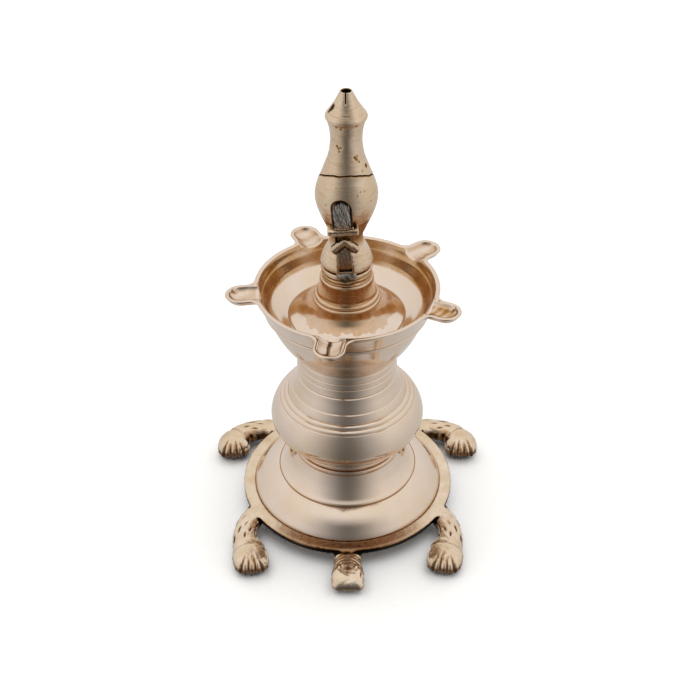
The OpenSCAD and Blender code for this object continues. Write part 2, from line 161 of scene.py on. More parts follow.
def wrapGrid(name, grid, crevice, closeRows=False):
    # grid is rows x columns x 3, closed round the columns; the first and last rows shrink to a pole, unless
    # the rows close on themselves too
    rows, cols = grid.shape[:2]
    verts = grid.reshape(-1, 3)
    quads = gridFaces(rows, cols, closeRows)
    tris = None
    values = crevice.ravel()
    if not closeRows:
        low, high = rows * cols, rows * cols + 1
        verts = np.vstack([verts, grid[0].mean(0), grid[-1].mean(0)])
        j = np.arange(cols)
        nj = (j + 1) % cols
        last = (rows - 1) * cols
        tris = np.vstack([np.stack([nj, j, j * 0 + low], 1),
                          np.stack([last + j, last + nj, j * 0 + high], 1)])
        values = np.concatenate([values, [values[0], values[-1]]])
    return putMesh(name, verts, quads, tris, values)


def turned(name, spans, base, count=240, segments=224, closed=False, rounding=0.22, wobble=0.0, ripple=None):
    # surface of revolution: (r cos a, r sin a, z); a wobble of a few hundredths keeps it hand-turned,
    # and ripple(r, z, a) gives a radius that changes round the axis and the patina that goes with it
    line, hollow = profile(spans, count, rounding)
    if closed:
        line, hollow = line[:-1], hollow[:-1]
    angle = np.linspace(0, 2 * np.pi, segments, endpoint=False)
    r = np.maximum(line[:, :1], 0.02) * np.ones_like(angle)
    r = r + wobble * (np.sin(2 * angle + 0.7) + 0.5 * np.sin(3 * angle + line[:, 1:] * 0.13))
    z = line[:, 1:] + 0 * angle
    crevice = hollow[:, None] * 0.85 + 0 * angle
    if ripple:
        r, crevice = ripple(r, z, angle + 0 * z, crevice)
    grid = np.stack([r * np.cos(angle), r * np.sin(angle), z + base], -1)
    return wrapGrid(name, grid, crevice, closed)


def sweep(path, halfWidth, halfHeight, power=2.0, sides=40, up=(0, 0, 1), spacing=0.35):
    # a section carried along a smooth path: superellipse of the given half sizes and power,
    # across = up x direction; returns the grid of points
    p = np.asarray(path, float)
    data = np.column_stack([p, np.broadcast_to(halfWidth, len(p)), np.broadcast_to(halfHeight, len(p)),
                            np.broadcast_to(power, len(p))])
    line = resample(curveThrough(data, 0.2), spacing=spacing)
    c = line[:, :3]
    d = np.gradient(c, axis=0)
    d /= np.linalg.norm(d, axis=1)[:, None]
    u = np.asarray(up, float)
    side = np.cross(u, d)
    side /= np.linalg.norm(side, axis=1)[:, None]
    top = np.cross(d, side)
    a = np.linspace(0, 2 * np.pi, sides, endpoint=False)
    n = 2 / line[:, 5:6]
    cx = np.sign(np.cos(a)) * np.abs(np.cos(a)) ** n
    cy = np.sign(np.sin(a)) * np.abs(np.sin(a)) ** n
    return (c[:, None] + side[:, None] * (line[:, 3:4] * cx)[..., None]
            + top[:, None] * (line[:, 4:5] * cy)[..., None])


def joinGrids(name, grids, hoops=()):
    # several closed grids in one mesh, each with its two poles; hoops are closed both ways
    verts, quads, tris, at = [], [], [np.zeros((0, 3), int)], 0
    for g in hoops:
        verts.append(g.reshape(-1, 3))
        quads.append(gridFaces(g.shape[0], g.shape[1], True, at))
        at += g.shape[0] * g.shape[1]
    for g in grids:
        rows, cols = g.shape[:2]
        j = np.arange(cols)
        nj = (j + 1) % cols
        low, high, last = at + rows * cols, at + rows * cols + 1, at + (rows - 1) * cols
        verts += [g.reshape(-1, 3), g[0].mean(0)[None], g[-1].mean(0)[None]]
        quads.append(gridFaces(rows, cols, start=at))
        tris += [np.stack([at + nj, at + j, j * 0 + low], 1),
                 np.stack([last + j, last + nj, j * 0 + high], 1)]
        at += rows * cols + 2
    return putMesh(name, np.vstack(verts), np.vstack(quads), np.vstack(tris))


def readArray(source, key, width, kind=np.float32):
    values = np.zeros(len(source) * width, kind)
    source.foreach_get(key, values)
    return values.reshape(-1, width)


def readSkin(piece):
    # vertices in millimetres, their normals, and the edges as pairs of vertices
    mesh = piece.data
    return (readArray(mesh.vertices, "co", 3).astype(float) * 1000,
            readArray(mesh.vertices, "normal", 3).astype(float),
            readArray(mesh.edges, "vertices", 2, np.int32))


def writeVerts(piece, verts):
    piece.data.vertices.foreach_set("co", (verts * 0.001).astype(np.float32).ravel())
    piece.data.update()


def weld(piece, voxel, smooth):
    # fuses overlapping closed shapes into one skin: voxel remesh, then a short smooth for the fillets
    remesh = piece.modifiers.new("fuse", "REMESH")
    remesh.mode = "VOXEL"
    remesh.voxel_size = voxel * 0.001
    remesh.use_smooth_shade = True
    if smooth:
        soft = piece.modifiers.new("soften", "SMOOTH")
        soft.factor = 0.5
        soft.iterations = smooth
    graph = bpy.context.evaluated_depsgraph_get()
    mesh = bpy.data.meshes.new_from_object(piece.evaluated_get(graph))
    old = piece.data
    piece.modifiers.clear()
    piece.data = mesh
    bpy.data.meshes.remove(old)
    mesh.name = piece.name
    mesh.polygons.foreach_set("use_smooth", np.ones(len(mesh.polygons), bool))
    if "crevice" not in mesh.attributes:
        mesh.attributes.new("crevice", "FLOAT", "POINT")
    return piece


def average(values, edges, rounds):
    # mean over each vertex's neighbours, repeated
    degree = np.maximum(np.bincount(edges.ravel(), minlength=len(values)).astype(float), 1)
    for again in range(rounds):
        total = np.zeros_like(values)
        np.add.at(total, edges[:, 0], values[edges[:, 1]])
        np.add.at(total, edges[:, 1], values[edges[:, 0]])
        values = total / (degree[:, None] if values.ndim == 2 else degree)
    return values


def setCrevice(piece, values):
    piece.data.attributes["crevice"].data.foreach_set("value", np.clip(values, 0, 1).astype(np.float32))


def finishPiece(piece, body, node, material):
    piece.data.materials.clear()
    piece.data.materials.append(material)
    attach(piece, body)
    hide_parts(node)
    print("made", piece.name, len(piece.data.polygons), "faces")


def colour(code):
    # an sRGB hex code turned to linear values
    parts = [int(code[k:k + 2], 16) / 255 for k in (1, 3, 5)]
    return [p / 12.92 if p <= 0.04045 else ((p + 0.055) / 1.055) ** 2.4 for p in parts] + [1.0]


def addNode(tree, kind, inputs=None, stops=(), **settings):
    # adds one shader node; inputs maps a socket's name or number to a value, another node (its first output)
    # or an output of one, and stops are a colour ramp's places and colours
    node = tree.nodes.new("ShaderNode" + kind)
    for key, value in settings.items():
        setattr(node, key, value)
    for key, value in (inputs or {}).items():
        value = value.outputs[0] if isinstance(value, bpy.types.Node) else value
        if isinstance(value, bpy.types.NodeSocket):
            tree.links.new(value, node.inputs[key])
        else:
            node.inputs[key].default_value = value
    for k, (place, tint) in enumerate(stops):
        element = node.color_ramp.elements[k] if k < 2 else node.color_ramp.elements.new(place)
        element.position, element.color = place, tint
    return node


def grey(v):
    return [v, v, v, 1]


def brassMaterial(name, look):
    # cast or turned brass: warm metal, lathe lines as rings about Z, broad smears left by the buff, casting
    # pits, a golden tarnish where the buff doesn't reach and a dark one that stays in the hollows, both also
    # used for painted shade
    mat = bpy.data.materials.new(name)
    mat.use_nodes = True
    tree = mat.node_tree
    tree.nodes.clear()
    place = addNode(tree, "TexCoord").outputs["Object"]
    # distance from the axis and height: the two numbers a lathe tool follows, so their noise makes rings
    flat = addNode(tree, "VectorMath", {0: place, 1: (1, 1, 0)}, operation="MULTIPLY")
    radius = addNode(tree, "VectorMath", {0: flat}, operation="LENGTH").outputs["Value"]
    level = addNode(tree, "SeparateXYZ", {0: place}).outputs["Z"]
    lathe = addNode(tree, "CombineXYZ", {0: radius, 1: level})
    slant = addNode(tree, "Mapping", {"Vector": place, "Rotation": (0.6, 0.9, 0.5),
                                                "Scale": (0.12, 1.0, 1.0)})
    patches = addNode(tree, "Mapping", {"Vector": place, "Scale": (0.22, 0.22, 1.0)})
    noise = {}
    for key, source, detail in (("ring", lathe, 3.0), ("breakUp", patches, 2.0), ("smear", place, 4.0),
                                ("grain", place, 5.0), ("wave", place, 1.0), ("hair", slant, 1.0)):
        noise[key] = addNode(tree, "TexNoise", {"Vector": source, "Scale": 1000 / look[key],
                                                          "Detail": detail, "Roughness": 0.6})
    # the rings' depth changes in long level patches, so the lines break up like real tool marks
    broken = addNode(tree, "MapRange", {0: noise["breakUp"], 1: 0.35, 2: 0.65, 3: 0.2, 4: 1.0})
    lines = addNode(tree, "Math", {0: noise["ring"], 1: broken}, operation="MULTIPLY")
    # pits: small cells, only the rare ones of which are wide enough to show
    cells = addNode(tree, "TexVoronoi", {"Vector": place, "Scale": 1000 / look["pitGap"]})
    wide = addNode(tree, "MapRange", {0: cells.outputs["Color"], 1: look["pitRare"], 2: 1.0, 3: 0.002,
                                                4: look["pitSize"]})
    pit = addNode(tree, "MapRange", {0: cells.outputs["Distance"], 1: 0.0, 2: wide, 3: 1.0, 4: 0.0},
                  interpolation_type="SMOOTHSTEP")
    # hair scratches from handling: the thin level lines of a stretched noise
    scratch = addNode(tree, "ValToRGB", {"Fac": noise["hair"]},
                      [(0.494, grey(0)), (0.5, grey(look["scratch"])), (0.506, grey(0))])
    # tarnish and painted shade: the crevice value, eaten away a little by the grain
    hollow = addNode(tree, "Attribute", attribute_name="crevice").outputs["Fac"]
    full = addNode(tree, "Math", {0: hollow, 1: 1.25 * look["patinaAndShade"]}, operation="MULTIPLY")
    darkening = addNode(tree, "Math", {0: noise["grain"], 1: -0.22, 2: full}, operation="MULTIPLY_ADD")
    pitStain = addNode(tree, "Math", {0: pit, 1: look["pitDark"]}, operation="MULTIPLY")
    # a darkening below zero would lighten, so the spots take whichever is larger
    spots = addNode(tree, "Math", {0: darkening, 1: pitStain}, operation="MAXIMUM")
    streak = addNode(tree, "MapRange", {0: lines, 1: 0.34, 2: 0.7, 3: 0.0, 4: look["lineStain"]})
    dark = addNode(tree, "Math", {0: spots, 1: streak}, operation="ADD", use_clamp=True)
    # clean metal drifts between a paler and a yellower tone; tinned places are grey
    tone = addNode(tree, "ValToRGB", {"Fac": noise["smear"]},
                   [(0.3, colour(look["pale"])), (0.75, colour(look["warm"]))])
    tinned = addNode(tree, "Attribute", attribute_name="tinned").outputs["Fac"]
    metal = addNode(tree, "Mix", {0: tinned, 6: tone, 7: colour(look["tin"])}, data_type="RGBA")
    tarnishAndShade = addNode(tree, "Mix", {0: tinned, 6: colour(look["gold"]), 7: colour("#4f4a43")},
                      data_type="RGBA")
    some = addNode(tree, "MapRange", {0: dark, 1: 0.0, 2: 0.4})
    much = addNode(tree, "MapRange", {0: dark, 1: 0.35, 2: 0.85})
    golden = addNode(tree, "Mix", {0: some, 6: metal.outputs[2], 7: tarnishAndShade.outputs[2]},
                     data_type="RGBA")
    body = addNode(tree, "Mix", {0: much, 6: golden.outputs[2], 7: colour(look["dark"])},
                   data_type="RGBA")
    rough, height = look["rough"], 0.0
    for source, part in ((noise["smear"], look["roughVary"]), (dark, 0.25), (scratch, 0.15)):
        rough = addNode(tree, "Math", {0: source, 1: part, 2: rough}, operation="MULTIPLY_ADD")
    for source, depth in ((lines, look["lineDepth"]), (noise["grain"], look["grainDepth"]),
                          (noise["wave"], look["waveDepth"]), (pit, -look["pitDepth"]), (scratch, -0.004)):
        height = addNode(tree, "Math", {0: source, 1: depth, 2: height}, operation="MULTIPLY_ADD")
    bump = addNode(tree, "Bump", {"Height": height, "Strength": 1.0, "Distance": 0.001})
    shader = addNode(tree, "BsdfPrincipled", {"Base Color": body.outputs[2], "Metallic": 1.0,
                                                        "Roughness": rough, "Normal": bump})
    addNode(tree, "OutputMaterial", {"Surface": shader})
    return mat


# Pattern sizes are in millimetres. Rings, grain and hairlines are drawn coarser than the real ones, which
# would be too fine to show.
# polished turned brass: near mirror, fine rings, a few smears and hairlines
polishedLook = dict(pale="#e6d5c9", warm="#dfc9b0", gold="#bd8d52", dark="#3c2712", tin="#c4c0b8", ring=0.22,
                    breakUp=9.0, smear=26.0, grain=1.6, hair=3.8, wave=14.0, pitGap=6.0, pitRare=0.72,
                    pitSize=0.07, pitDark=0.8, pitDepth=0.1, scratch=0.7, patinaAndShade=0.62, rough=0.05,
                    roughVary=0.13, lineDepth=0.01, lineStain=0.03, grainDepth=0.004, waveDepth=0.14)
# brushed turned brass: the reservoir, left from the lathe with emery lines
brushedLook = dict(pale="#e3cfba", warm="#d9bd99", gold="#b0824c", dark="#1f1610", tin="#c4c0b8", ring=0.42,
                   breakUp=1.3, smear=10.0, grain=0.9, hair=3.0, wave=8.0, pitGap=3.0, pitRare=0.66,
                   pitSize=0.09, pitDark=0.9, pitDepth=0.25, scratch=0.8, patinaAndShade=0.9, rough=0.16,
                   roughVary=0.16, lineDepth=0.16, lineStain=0.15, grainDepth=0.015, waveDepth=0.2)
# hand-finished casting: sand texture, filed highs, dark lows
castLook = dict(pale="#ead9c6", warm="#d6bb97", gold="#8f6238", dark="#110b08", tin="#c2bdb4", ring=2.5,
                breakUp=4.0, smear=8.0, grain=0.9, hair=3.0, wave=5.0, pitGap=2.2, pitRare=0.62,
                pitSize=0.1, pitDark=0.9, pitDepth=0.25, scratch=0.8, patinaAndShade=1.0, rough=0.12,
                roughVary=0.2, lineDepth=0.01, lineStain=0.05, grainDepth=0.07, waveDepth=0.3)
# soft solder: dull grey, lumpy where it froze
solderLook = dict(pale="#9c978f", warm="#8a8276", gold="#5f5a52", dark="#2c2925", tin="#9a958d", ring=3.0,
                  breakUp=2.0, smear=3.0, grain=0.5, hair=2.0, wave=1.6, pitGap=1.6, pitRare=0.6,
                  pitSize=0.1, pitDark=0.6, pitDepth=0.2, scratch=0.5, patinaAndShade=1.0, rough=0.3,
                  roughVary=0.2, lineDepth=0.0, lineStain=0.0, grainDepth=0.1, waveDepth=0.3)
polishedBrass = brassMaterial("turned brass, buffed", polishedLook)
brushedBrass = brassMaterial("turned brass, emery lines", brushedLook)
castBrass = brassMaterial("cast brass, hand filed", castLook)
softSolder = brassMaterial("soft solder, dull grey", solderLook)
print("materials ready")


footLook = dict(voxel=0.62, underEdge=3.2, openRadius=37.0, seatRadius=44.42, legHalf=5.6, pawHalf=8.2,
                frontPawX=44.0, backPawX=57.0, soleLift=4.6, headHalf=7.6, pawLength=12.6, dashGap=7.4,
                dashRow=2.6, tailRing=3.4, eyeBack=8.6)


def ringOutline():
    # the plate's section: a flat ring with the dome's seat cut into its top
    inner, seat, outer = footLook["openRadius"], footLook["seatRadius"], plateRadius
    top, under = plateTop, plateTop - footLook["underEdge"]
    return profile([[[inner, seatLevel], [inner, under]], [[outer - 0.35, under]],
                    [[outer - 0.05, under + 0.35], [outer, top - 0.5]], [[outer - 0.3, top]],
                    [[seat, top]], [[seat, seatLevel]], [[inner, seatLevel]]], 140)[0]


def footShapes():
    f = footLook
    top = plateTop
    ring = ringOutline()
    a = np.linspace(0, 2 * np.pi, 260, endpoint=False)
    r, z = ring[:-1, :1] + 0 * a, ring[:-1, 1:] + 0 * a
    plate = np.stack([r * np.cos(a), r * np.sin(a), z], -1)
    x, w, p, lift = f["frontPawX"], f["legHalf"], f["pawHalf"], f["soleLift"]
    front = [[x - 6, -17, top - 3.4, w * 0.9, 2.2], [x - 1.2, -23, top - 3.4, w * 1.02, 3.0],
             [x + 2.6, -30, 6.6, w, 4.1], [x + 3.6, -36, 6.2, w * 1.02, 4.6],
             [x + 3.0, -41.2, 5.9, w * 1.12, 4.9],
             [x + 1.7, -44.4, lift + 0.7, p * 0.93, 5.3], [x + 0.8, -48.2, lift + 0.5, p, 5.5],
             [x, -52, lift + 0.2, p * 0.98, 5.1], [x - 0.2, -54.9, lift - 0.2, p * 0.84, 4.3],
             [x - 0.4, -56.9, lift - 0.8, p * 0.5, 2.6]]
    x = f["backPawX"]
    back = [[x - 30, 35.0, top - 3.4, w * 0.9, 2.2], [x - 22, 38.2, top - 3.2, w * 1.02, 3.1],
            [x - 14.5, 38.9, 6.9, w, 4.1], [x - 8, 37.5, 6.5, w, 4.6], [x - 3.2, 34.9, 6.2, w * 1.06, 4.9],
            [x - 1.0, 32.2, lift + 0.7, p * 0.9, 5.3], [x, 29.2, lift + 0.5, p, 5.5],
            [x + 0.2, 26.3, lift + 0.2, p * 0.98, 5.1], [x + 0.2, 23.9, lift - 0.2, p * 0.84, 4.3],
            [x + 0.1, 22.0, lift - 0.8, p * 0.5, 2.6]]
    y = footFront
    q = f["headHalf"]
    head = [[0, -45, top - 3.5, q * 0.84, 2.0], [0, -50, top - 3.7, q * 0.84, 2.9],
            [0, -54.5, 6.5, q * 0.82, 4.2],
            [0, y + 10.5, 6.1, q * 0.9, 4.6], [0, y + 6.6, 5.8, q * 0.99, 4.5], [0, y + 3.2, 5.1, q, 3.8],
            [0, y + 1.0, 4.5, q * 0.92, 2.9], [0, y + 0.1, 4.2, q * 0.74, 1.8]]
    tail = [[0, 45, top - 3.4, 6, 2.2], [0, 50, top - 3.6, 5.0, 2.8],
            [0, 56, 6.6, 3.7, 2.8], [0, 62, 5.6, 2.5, 2.2],
            [0, -y - 1.4, 4.6, 1.3, 1.3], [0, -y - 0.1, 4.3, 0.6, 0.6]]
    return plate, front, back, head, tail


def limbGrid(rows, power=2.3):
    rows = np.asarray(rows, float)
    return sweep(rows[:, :3], rows[:, 3], rows[:, 4], power=power, spacing=0.6, sides=48)


def mirrored(grid):
    return (grid * [-1, 1, 1])[:, ::-1]


def alongLimb(verts, rows):
    # for each vertex: how far along the limb's line it lies (mm), and how far across it
    rows = np.asarray(rows, float)
    line = resample(curveThrough(rows[:, :4], 0.2), spacing=0.4)
    s = arcLength(line[:, :3])
    d = np.gradient(line[:, :2], axis=0)
    d /= np.linalg.norm(d, axis=1)[:, None]
    gap = np.full(len(verts), 1e9)
    near = np.zeros(len(verts), int)
    for k in range(0, len(line), 2):
        g = np.hypot(verts[:, 0] - line[k, 0], verts[:, 1] - line[k, 1])
        better = g < gap
        gap[better], near[better] = g[better], k
    off = verts[:, :2] - line[near, :2]
    across = off[:, 0] * -d[near, 1] + off[:, 1] * d[near, 0]
    return s[near] + (off * d[near]).sum(1), across, gap, s[-1]


def makeFoot():
    f = footLook
    plate, front, back, head, tail = footShapes()
    limbs = []
    for rows in (front, back):
        g = limbGrid(rows)
        limbs += [g, mirrored(g)]
    limbs += [limbGrid(head, 2.6), limbGrid(tail)]
    piece = joinGrids("footCasting", limbs, [plate])
    weld(piece, f["voxel"], 2)
    v, n, edges = readSkin(piece)
    r = np.hypot(v[:, 0], v[:, 1])
    # fillets where the limbs leave the rim: more smoothing in a band round the plate's edge
    soft = average(v, edges, 6)
    band = np.clip(gauss(r - 51.2, 2.2) * step(v[:, 2], 4, 7) * 1.1, 0, 1)
    limbNear = np.zeros(len(v))
    dent = np.zeros(len(v))
    dark = np.zeros(len(v))
    absV = v.copy()
    absV[:, 0] = np.abs(v[:, 0])
    for rows in (front, back):
        along, across, gap, length = alongLimb(absV, rows)
        inside = (gap < 10.5) & (r > 50.4)
        limbNear = np.maximum(limbNear, inside * 1.0)
        topSide = step(n[:, 2], -0.35, 0.25)
        cuff = length - f["pawLength"]
        # cuff: the paw starts with a step over the leg
        line = gauss(along - cuff - 0.02 * across ** 2, 0.55) * inside
        dent += line * 0.5
        dark = np.maximum(dark, line * 0.3)
        # toes: short grooves fanned over the paw's blunt front, each a different length
        fan = across / (0.42 + 0.58 * np.clip(1 - (length - along) / 7.5, 0, 1))
        for at, depth, reach in ((-4.9, 0.8, 6.2), (-1.9, 1.0, 7.0), (1.3, 0.9, 5.4), (4.6, 0.8, 7.4)):
            front01 = step(along, length - reach, length - reach + 4.2) * inside
            groove = gauss(fan - at, 0.55) * front01
            dent += groove * depth * 0.65
            dark = np.maximum(dark, groove * 0.65)
        blunt = step(along, length - 6.0, length - 2.0) * inside
        dent -= gauss(((fan + 4.9) % 3.15) - 1.6, 0.9) * blunt * 0.35
        # painted shade on the paw's sides and the cuff's sides, which face away from the top
        dark = np.maximum(dark, inside * step(0.42 - n[:, 2], 0.0, 0.45) * 0.5)
        dark = np.maximum(dark, inside * step(along, cuff, cuff + 1.5) * step(0.62 - n[:, 2], 0.0, 0.7) * 0.5)
        # chisel dashes along the leg, in three staggered rows
        legPart = step(along, 7, 10) * (1 - step(along, cuff - 4.5, cuff - 2.5)) * inside * topSide
        row = np.round(across / f["dashRow"])
        shifted = along + row * 2.9
        phase = (shifted + np.sin(row * 7.1) * 1.1) % f["dashGap"]
        dash = gauss(across - row * f["dashRow"] - 0.22 * (phase - 3.2), 0.36)
        dash = dash * gauss(phase - 3.2, 1.9) * legPart
        dash *= np.clip(0.65 + 0.6 * np.sin(row * 12.9 + np.floor(shifted / f["dashGap"]) * 4.7), 0, 1)
        dent += dash * 0.42
        dark = np.maximum(dark, dash)
        # painted shade: the tucked side of the leg and its underside are darkened by which way they face
        dark = np.maximum(dark, inside * step(-n[:, 2], 0.0, 0.6))
        dark = np.maximum(dark, inside * (1 - step(along, 7, 17)) * step(0.85 - n[:, 2], 0.1, 0.6))
        inner = step(-across, 0.8, 3.2) * step(0.9 - n[:, 2], 0.1, 0.7)
        blotch = 0.55 + 0.45 * np.sin(along * 1.1 + across * 0.8) * np.sin(v[:, 1] * 1.7)
        dark = np.maximum(dark, inside * inner * (1 - step(along, cuff + 1, cuff + 5)) * blotch)
    # head: neck rings, eyes, a brow ridge, a short mouth line and a scar
    headPart = (np.abs(v[:, 0]) < 10) & (v[:, 1] < -50.3)
    x, y = v[:, 0], v[:, 1]
    up = step(n[:, 2], -0.1, 0.5)
    for at, depth in ((-51.6, 0.35), (-53.4, 0.55), (-55.4, 0.6), (-57.2, 0.5)):
        ringLine = gauss(y - at + 0.075 * x ** 2, 0.36) * headPart * step(n[:, 2], -0.5, 0.1)
        ringLine *= 0.45 + 0.55 * step(np.abs(x), 0.5, 3.0)
        dent += ringLine * depth
        dark = np.maximum(dark, ringLine * 0.85)
    eyeY = footFront + f["eyeBack"]
    for sx in (-1, 1):
        # an eye is a slanted almond bump with a thin dark line round it
        ex, ey = x * sx - 3.9, y - eyeY
        d = np.hypot(ex * 1.5 - ey * 0.5, ey * 0.75 + ex * 0.4)
        dent -= gauss(d, 0.9) * 0.55 * headPart * up
        halo = gauss(d - 1.45, 0.32) * headPart * up
        dent += halo * 0.25
        dark = np.maximum(dark, halo * 0.5)
    brow = gauss(x, 0.9) * gauss(y - eyeY + 0.6, 2.8) + gauss(x, 2.2) * gauss(y - eyeY + 0.8, 0.7)
    brow = np.clip(brow, 0, 1) * headPart * up
    dent += brow * 0.3
    dark = np.maximum(dark, brow * 0.42)
    mouth = gauss(y - footFront - 5.4 + 0.08 * x, 0.3) * (gauss(x + 0.1, 1.3) + 0.6 * gauss(x - 2.6, 0.5))
    mouth *= headPart * up
    dent += mouth * 0.35
    dark = np.maximum(dark, mouth)
    scar = gauss(x - 5.4 - 0.08 * (y - footFront), 0.3) * gauss(y - footFront - 5.2, 1.8) * headPart * up
    dark = np.maximum(dark, scar * 0.8)
    side = headPart * step(np.abs(n[:, 0]), 0.75, 0.98) * gauss(v[:, 2] - 3.2, 0.5)
    dent += side * 0.3
    # painted shade on the head's sides, which face away from the top, weaker at the snout
    flank = headPart * step(0.75 - n[:, 2], 0.0, 0.8) * (0.35 + 0.65 * step(y, footFront + 5, footFront + 12))
    dark = np.maximum(dark, flank * 0.75)
    # tail: a few rings
    tailPart = (np.abs(v[:, 0]) < 6) & (v[:, 1] > 51)
    rings = gauss(((y - 51) % f["tailRing"]) - f["tailRing"] / 2, 0.4) * tailPart * step(n[:, 2], -0.5, 0.1)
    dent += rings * 0.25
    dark = np.maximum(dark, rings * 0.6)
    # painted shade under the tail
    dark = np.maximum(dark, tailPart * step(-n[:, 2], 0.1, 0.7) * 0.9)
    limbWeight = np.clip(limbNear + headPart + tailPart, 0, 1)
    v = v + (soft - v) * (np.maximum(band * 0.8, limbWeight * 0.25))[:, None]
    # hammered, sandy skin on the limbs
    lump = (np.sin(x * 1.3 + np.sin(y * 0.9) * 1.4) * np.sin(y * 1.1 + 0.7) + 0.6 * np.sin(x * 2.3 + y * 1.7)
            * np.sin(v[:, 2] * 2.1 + x)) * 0.10
    v = v + n * (lump * limbWeight - dent)[:, None]
    # away from the limbs the skin is drawn back onto the ring's own outline, which keeps its edges crisp
    ring = ringOutline()
    r = np.hypot(v[:, 0], v[:, 1])
    plain = np.flatnonzero((limbWeight < 0.5) & (r < 51))
    gap = np.full(len(plain), 1e9)
    near = np.zeros((len(plain), 2))
    for point in resample(ring, spacing=0.12):
        g = (r[plain] - point[0]) ** 2 + (v[plain, 2] - point[1]) ** 2
        closer = g < gap
        gap[closer] = g[closer]
        near[closer] = point
    hold = 1 - average(limbWeight, edges, 4)[plain]
    newR = r[plain] + (near[:, 0] - r[plain]) * hold
    v[plain, :2] *= (newR / r[plain])[:, None]
    v[plain, 2] += (near[:, 1] - v[plain, 2]) * hold
    # painted shade on the plate's outer face under the filed edge
    r = np.hypot(v[:, 0], v[:, 1])
    turn = np.arctan2(v[:, 1], v[:, 0])
    underEdgeShade = step(plateTop - 0.8 + 0.2 * np.sin(turn * 7) - v[:, 2], -0.2, 0.3) * (r > 40) * (r < 51.5)
    dark = np.maximum(dark, underEdgeShade * 1.2)
    # the rim's top is pale at the sides and back, golden towards the front, with a few scuffs
    front01 = step(-np.sin(turn), 0.55, 0.95) * (r > 44) * (r < 50.2) * (1 - underEdgeShade)
    scuff = np.clip(np.sin(turn * 23 + r * 1.2) * np.sin(turn * 9 - r * 4.1) - 0.7, 0, 1)
    dark = np.maximum(dark, front01 * (0.33 + 0.5 * scuff))
    # painted shade on every face that looks downwards
    dark = np.where(n[:, 2] < -0.4, np.maximum(dark, 0.9), dark)
    v[:, 2] = np.clip(v[:, 2], 0.0, plateTop)
    v[:, 1] = np.clip(v[:, 1], footFront + 0.02, -footFront - 0.02)
    v[:, 0] = np.clip(v[:, 0], -footSide + 0.02, footSide - 0.02)
    writeVerts(piece, v)
    setCrevice(piece, average(dark, edges, 1) * 0.4 + dark * 0.6)
    finishPiece(piece, "base", "tortoise_plate", castBrass)


makeFoot()


def makeDome():
    h = domeTop - seatLevel
    outer = [[[44.3, 0], [44.3, 1.6]], [[43.8, 2.7], [42.3, 4.5], [40.2, 6.7], [37.6, 8.8], [34.8, 10.5],
                                        [32.95, 11.35]],
             [[32.3, 11.35]], [[31.9, 11.95]],
             [[30.2, 13.3], [28.5, 15.2], [27.1, 17.3], [26.1, 19.6], [25.4, 21.5]],
             [[25.0, h]], [[8.05, h]], [[8.05, h - 12]],
             [[12, h - 12]], [[13, h - 3.8]],
             [[21, h - 3.4], [23.6, h - 8.5], [27.6, 10.8], [32, 7.5], [37, 4.2], [41.2, 0]],
             [[44.3, 0]]]
    piece = turned("shellDome", outer, seatLevel, count=300, segments=240, closed=True, rounding=0.2,
                   wobble=0.02)
    finishPiece(piece, "base", "shell_dome", polishedBrass)


makeDome()


vaseLook = dict(neck=22.6, footGold=0.26, grooveGold=0.42, stub=20)


def vaseTarnish(r, z, a, crevice):
    # golden below the bulge where the buff can't reach, and a softened gold line in every groove
    foot = (1 - step(z, 6.0, 10.5)) * vaseLook["footGold"] * (r > vaseLook["stub"])
    groove = np.minimum(crevice, 1.0) * vaseLook["grooveGold"] * (r > vaseLook["stub"])
    return r, np.maximum(groove, foot)


def makeVase():
    n = vaseLook["neck"]
    t = vaseTop - domeTop
    spans = [[[0, -11], [7.2, -11]], [[8, -10.2]], [[8, 0]], [[24.7, 0]],
             [[25.0, 0.5], [25.0, 1.7], [24.6, 2.3]], [[23.5, 2.5]], [[23.5, 3.0]],
             [[24.4, 3.2], [24.75, 4.2], [24.3, 5.1]], [[22.8, 5.5]],
             [[22.5, 6.6], [23.2, 7.6]],
             [[26, 8.35], [29.2, 10.0], [32, 12.5], [34, 15.4], [35, 18.4], [35.2, 19.9], [35.1, 21.3],
              [34.6, 23.5], [33.7, 25.8], [32.5, 28.0], [31.35, 29.55]],
             [[30.85, 29.75]], [[30.6, 30.5], [29.55, 31.35]],
             [[28.95, 31.5]], [[28.6, 32.3], [27.65, 32.95]],
             [[27.05, 33.1]], [[26.7, 34.1], [26.1, 35.3], [25.45, 36.5]],
             [[24.95, 36.8]],
             [[24.3, 38.6], [23.4, 40.8], [22.7, 43.3]], [[22.1, 43.75]],
             [[22.5, 44.3]], [[n, 46.2], [n, 48.1]], [[22.15, 48.5]],
             [[n, 48.95]], [[n, 51.3]], [[22.15, 51.75]],
             [[n, 52.2]], [[n + 0.1, t - 1.1]], [[22.3, t]],
             [[8.05, t]], [[8.05, t - 12]], [[0, t - 12]]]
    piece = turned("vaseBody", spans, domeTop, count=420, rounding=0.3, wobble=0.03, ripple=vaseTarnish)
    finishPiece(piece, "stem", "vase_body", polishedBrass)


makeVase()


dishLook = dict(rim=40.5, edge=1.9, lipHalf=6.7, lipCentre=46.1, fillet=4.0,
                turns=(-99.0, -25.2, 39.4, 114.4, 188.0),
                mouthRing=38.0, outerRing=36.6, spoonHalf=5.75, spoonDepth=3.3, underRound=7.0,
                troughStart=31.0)


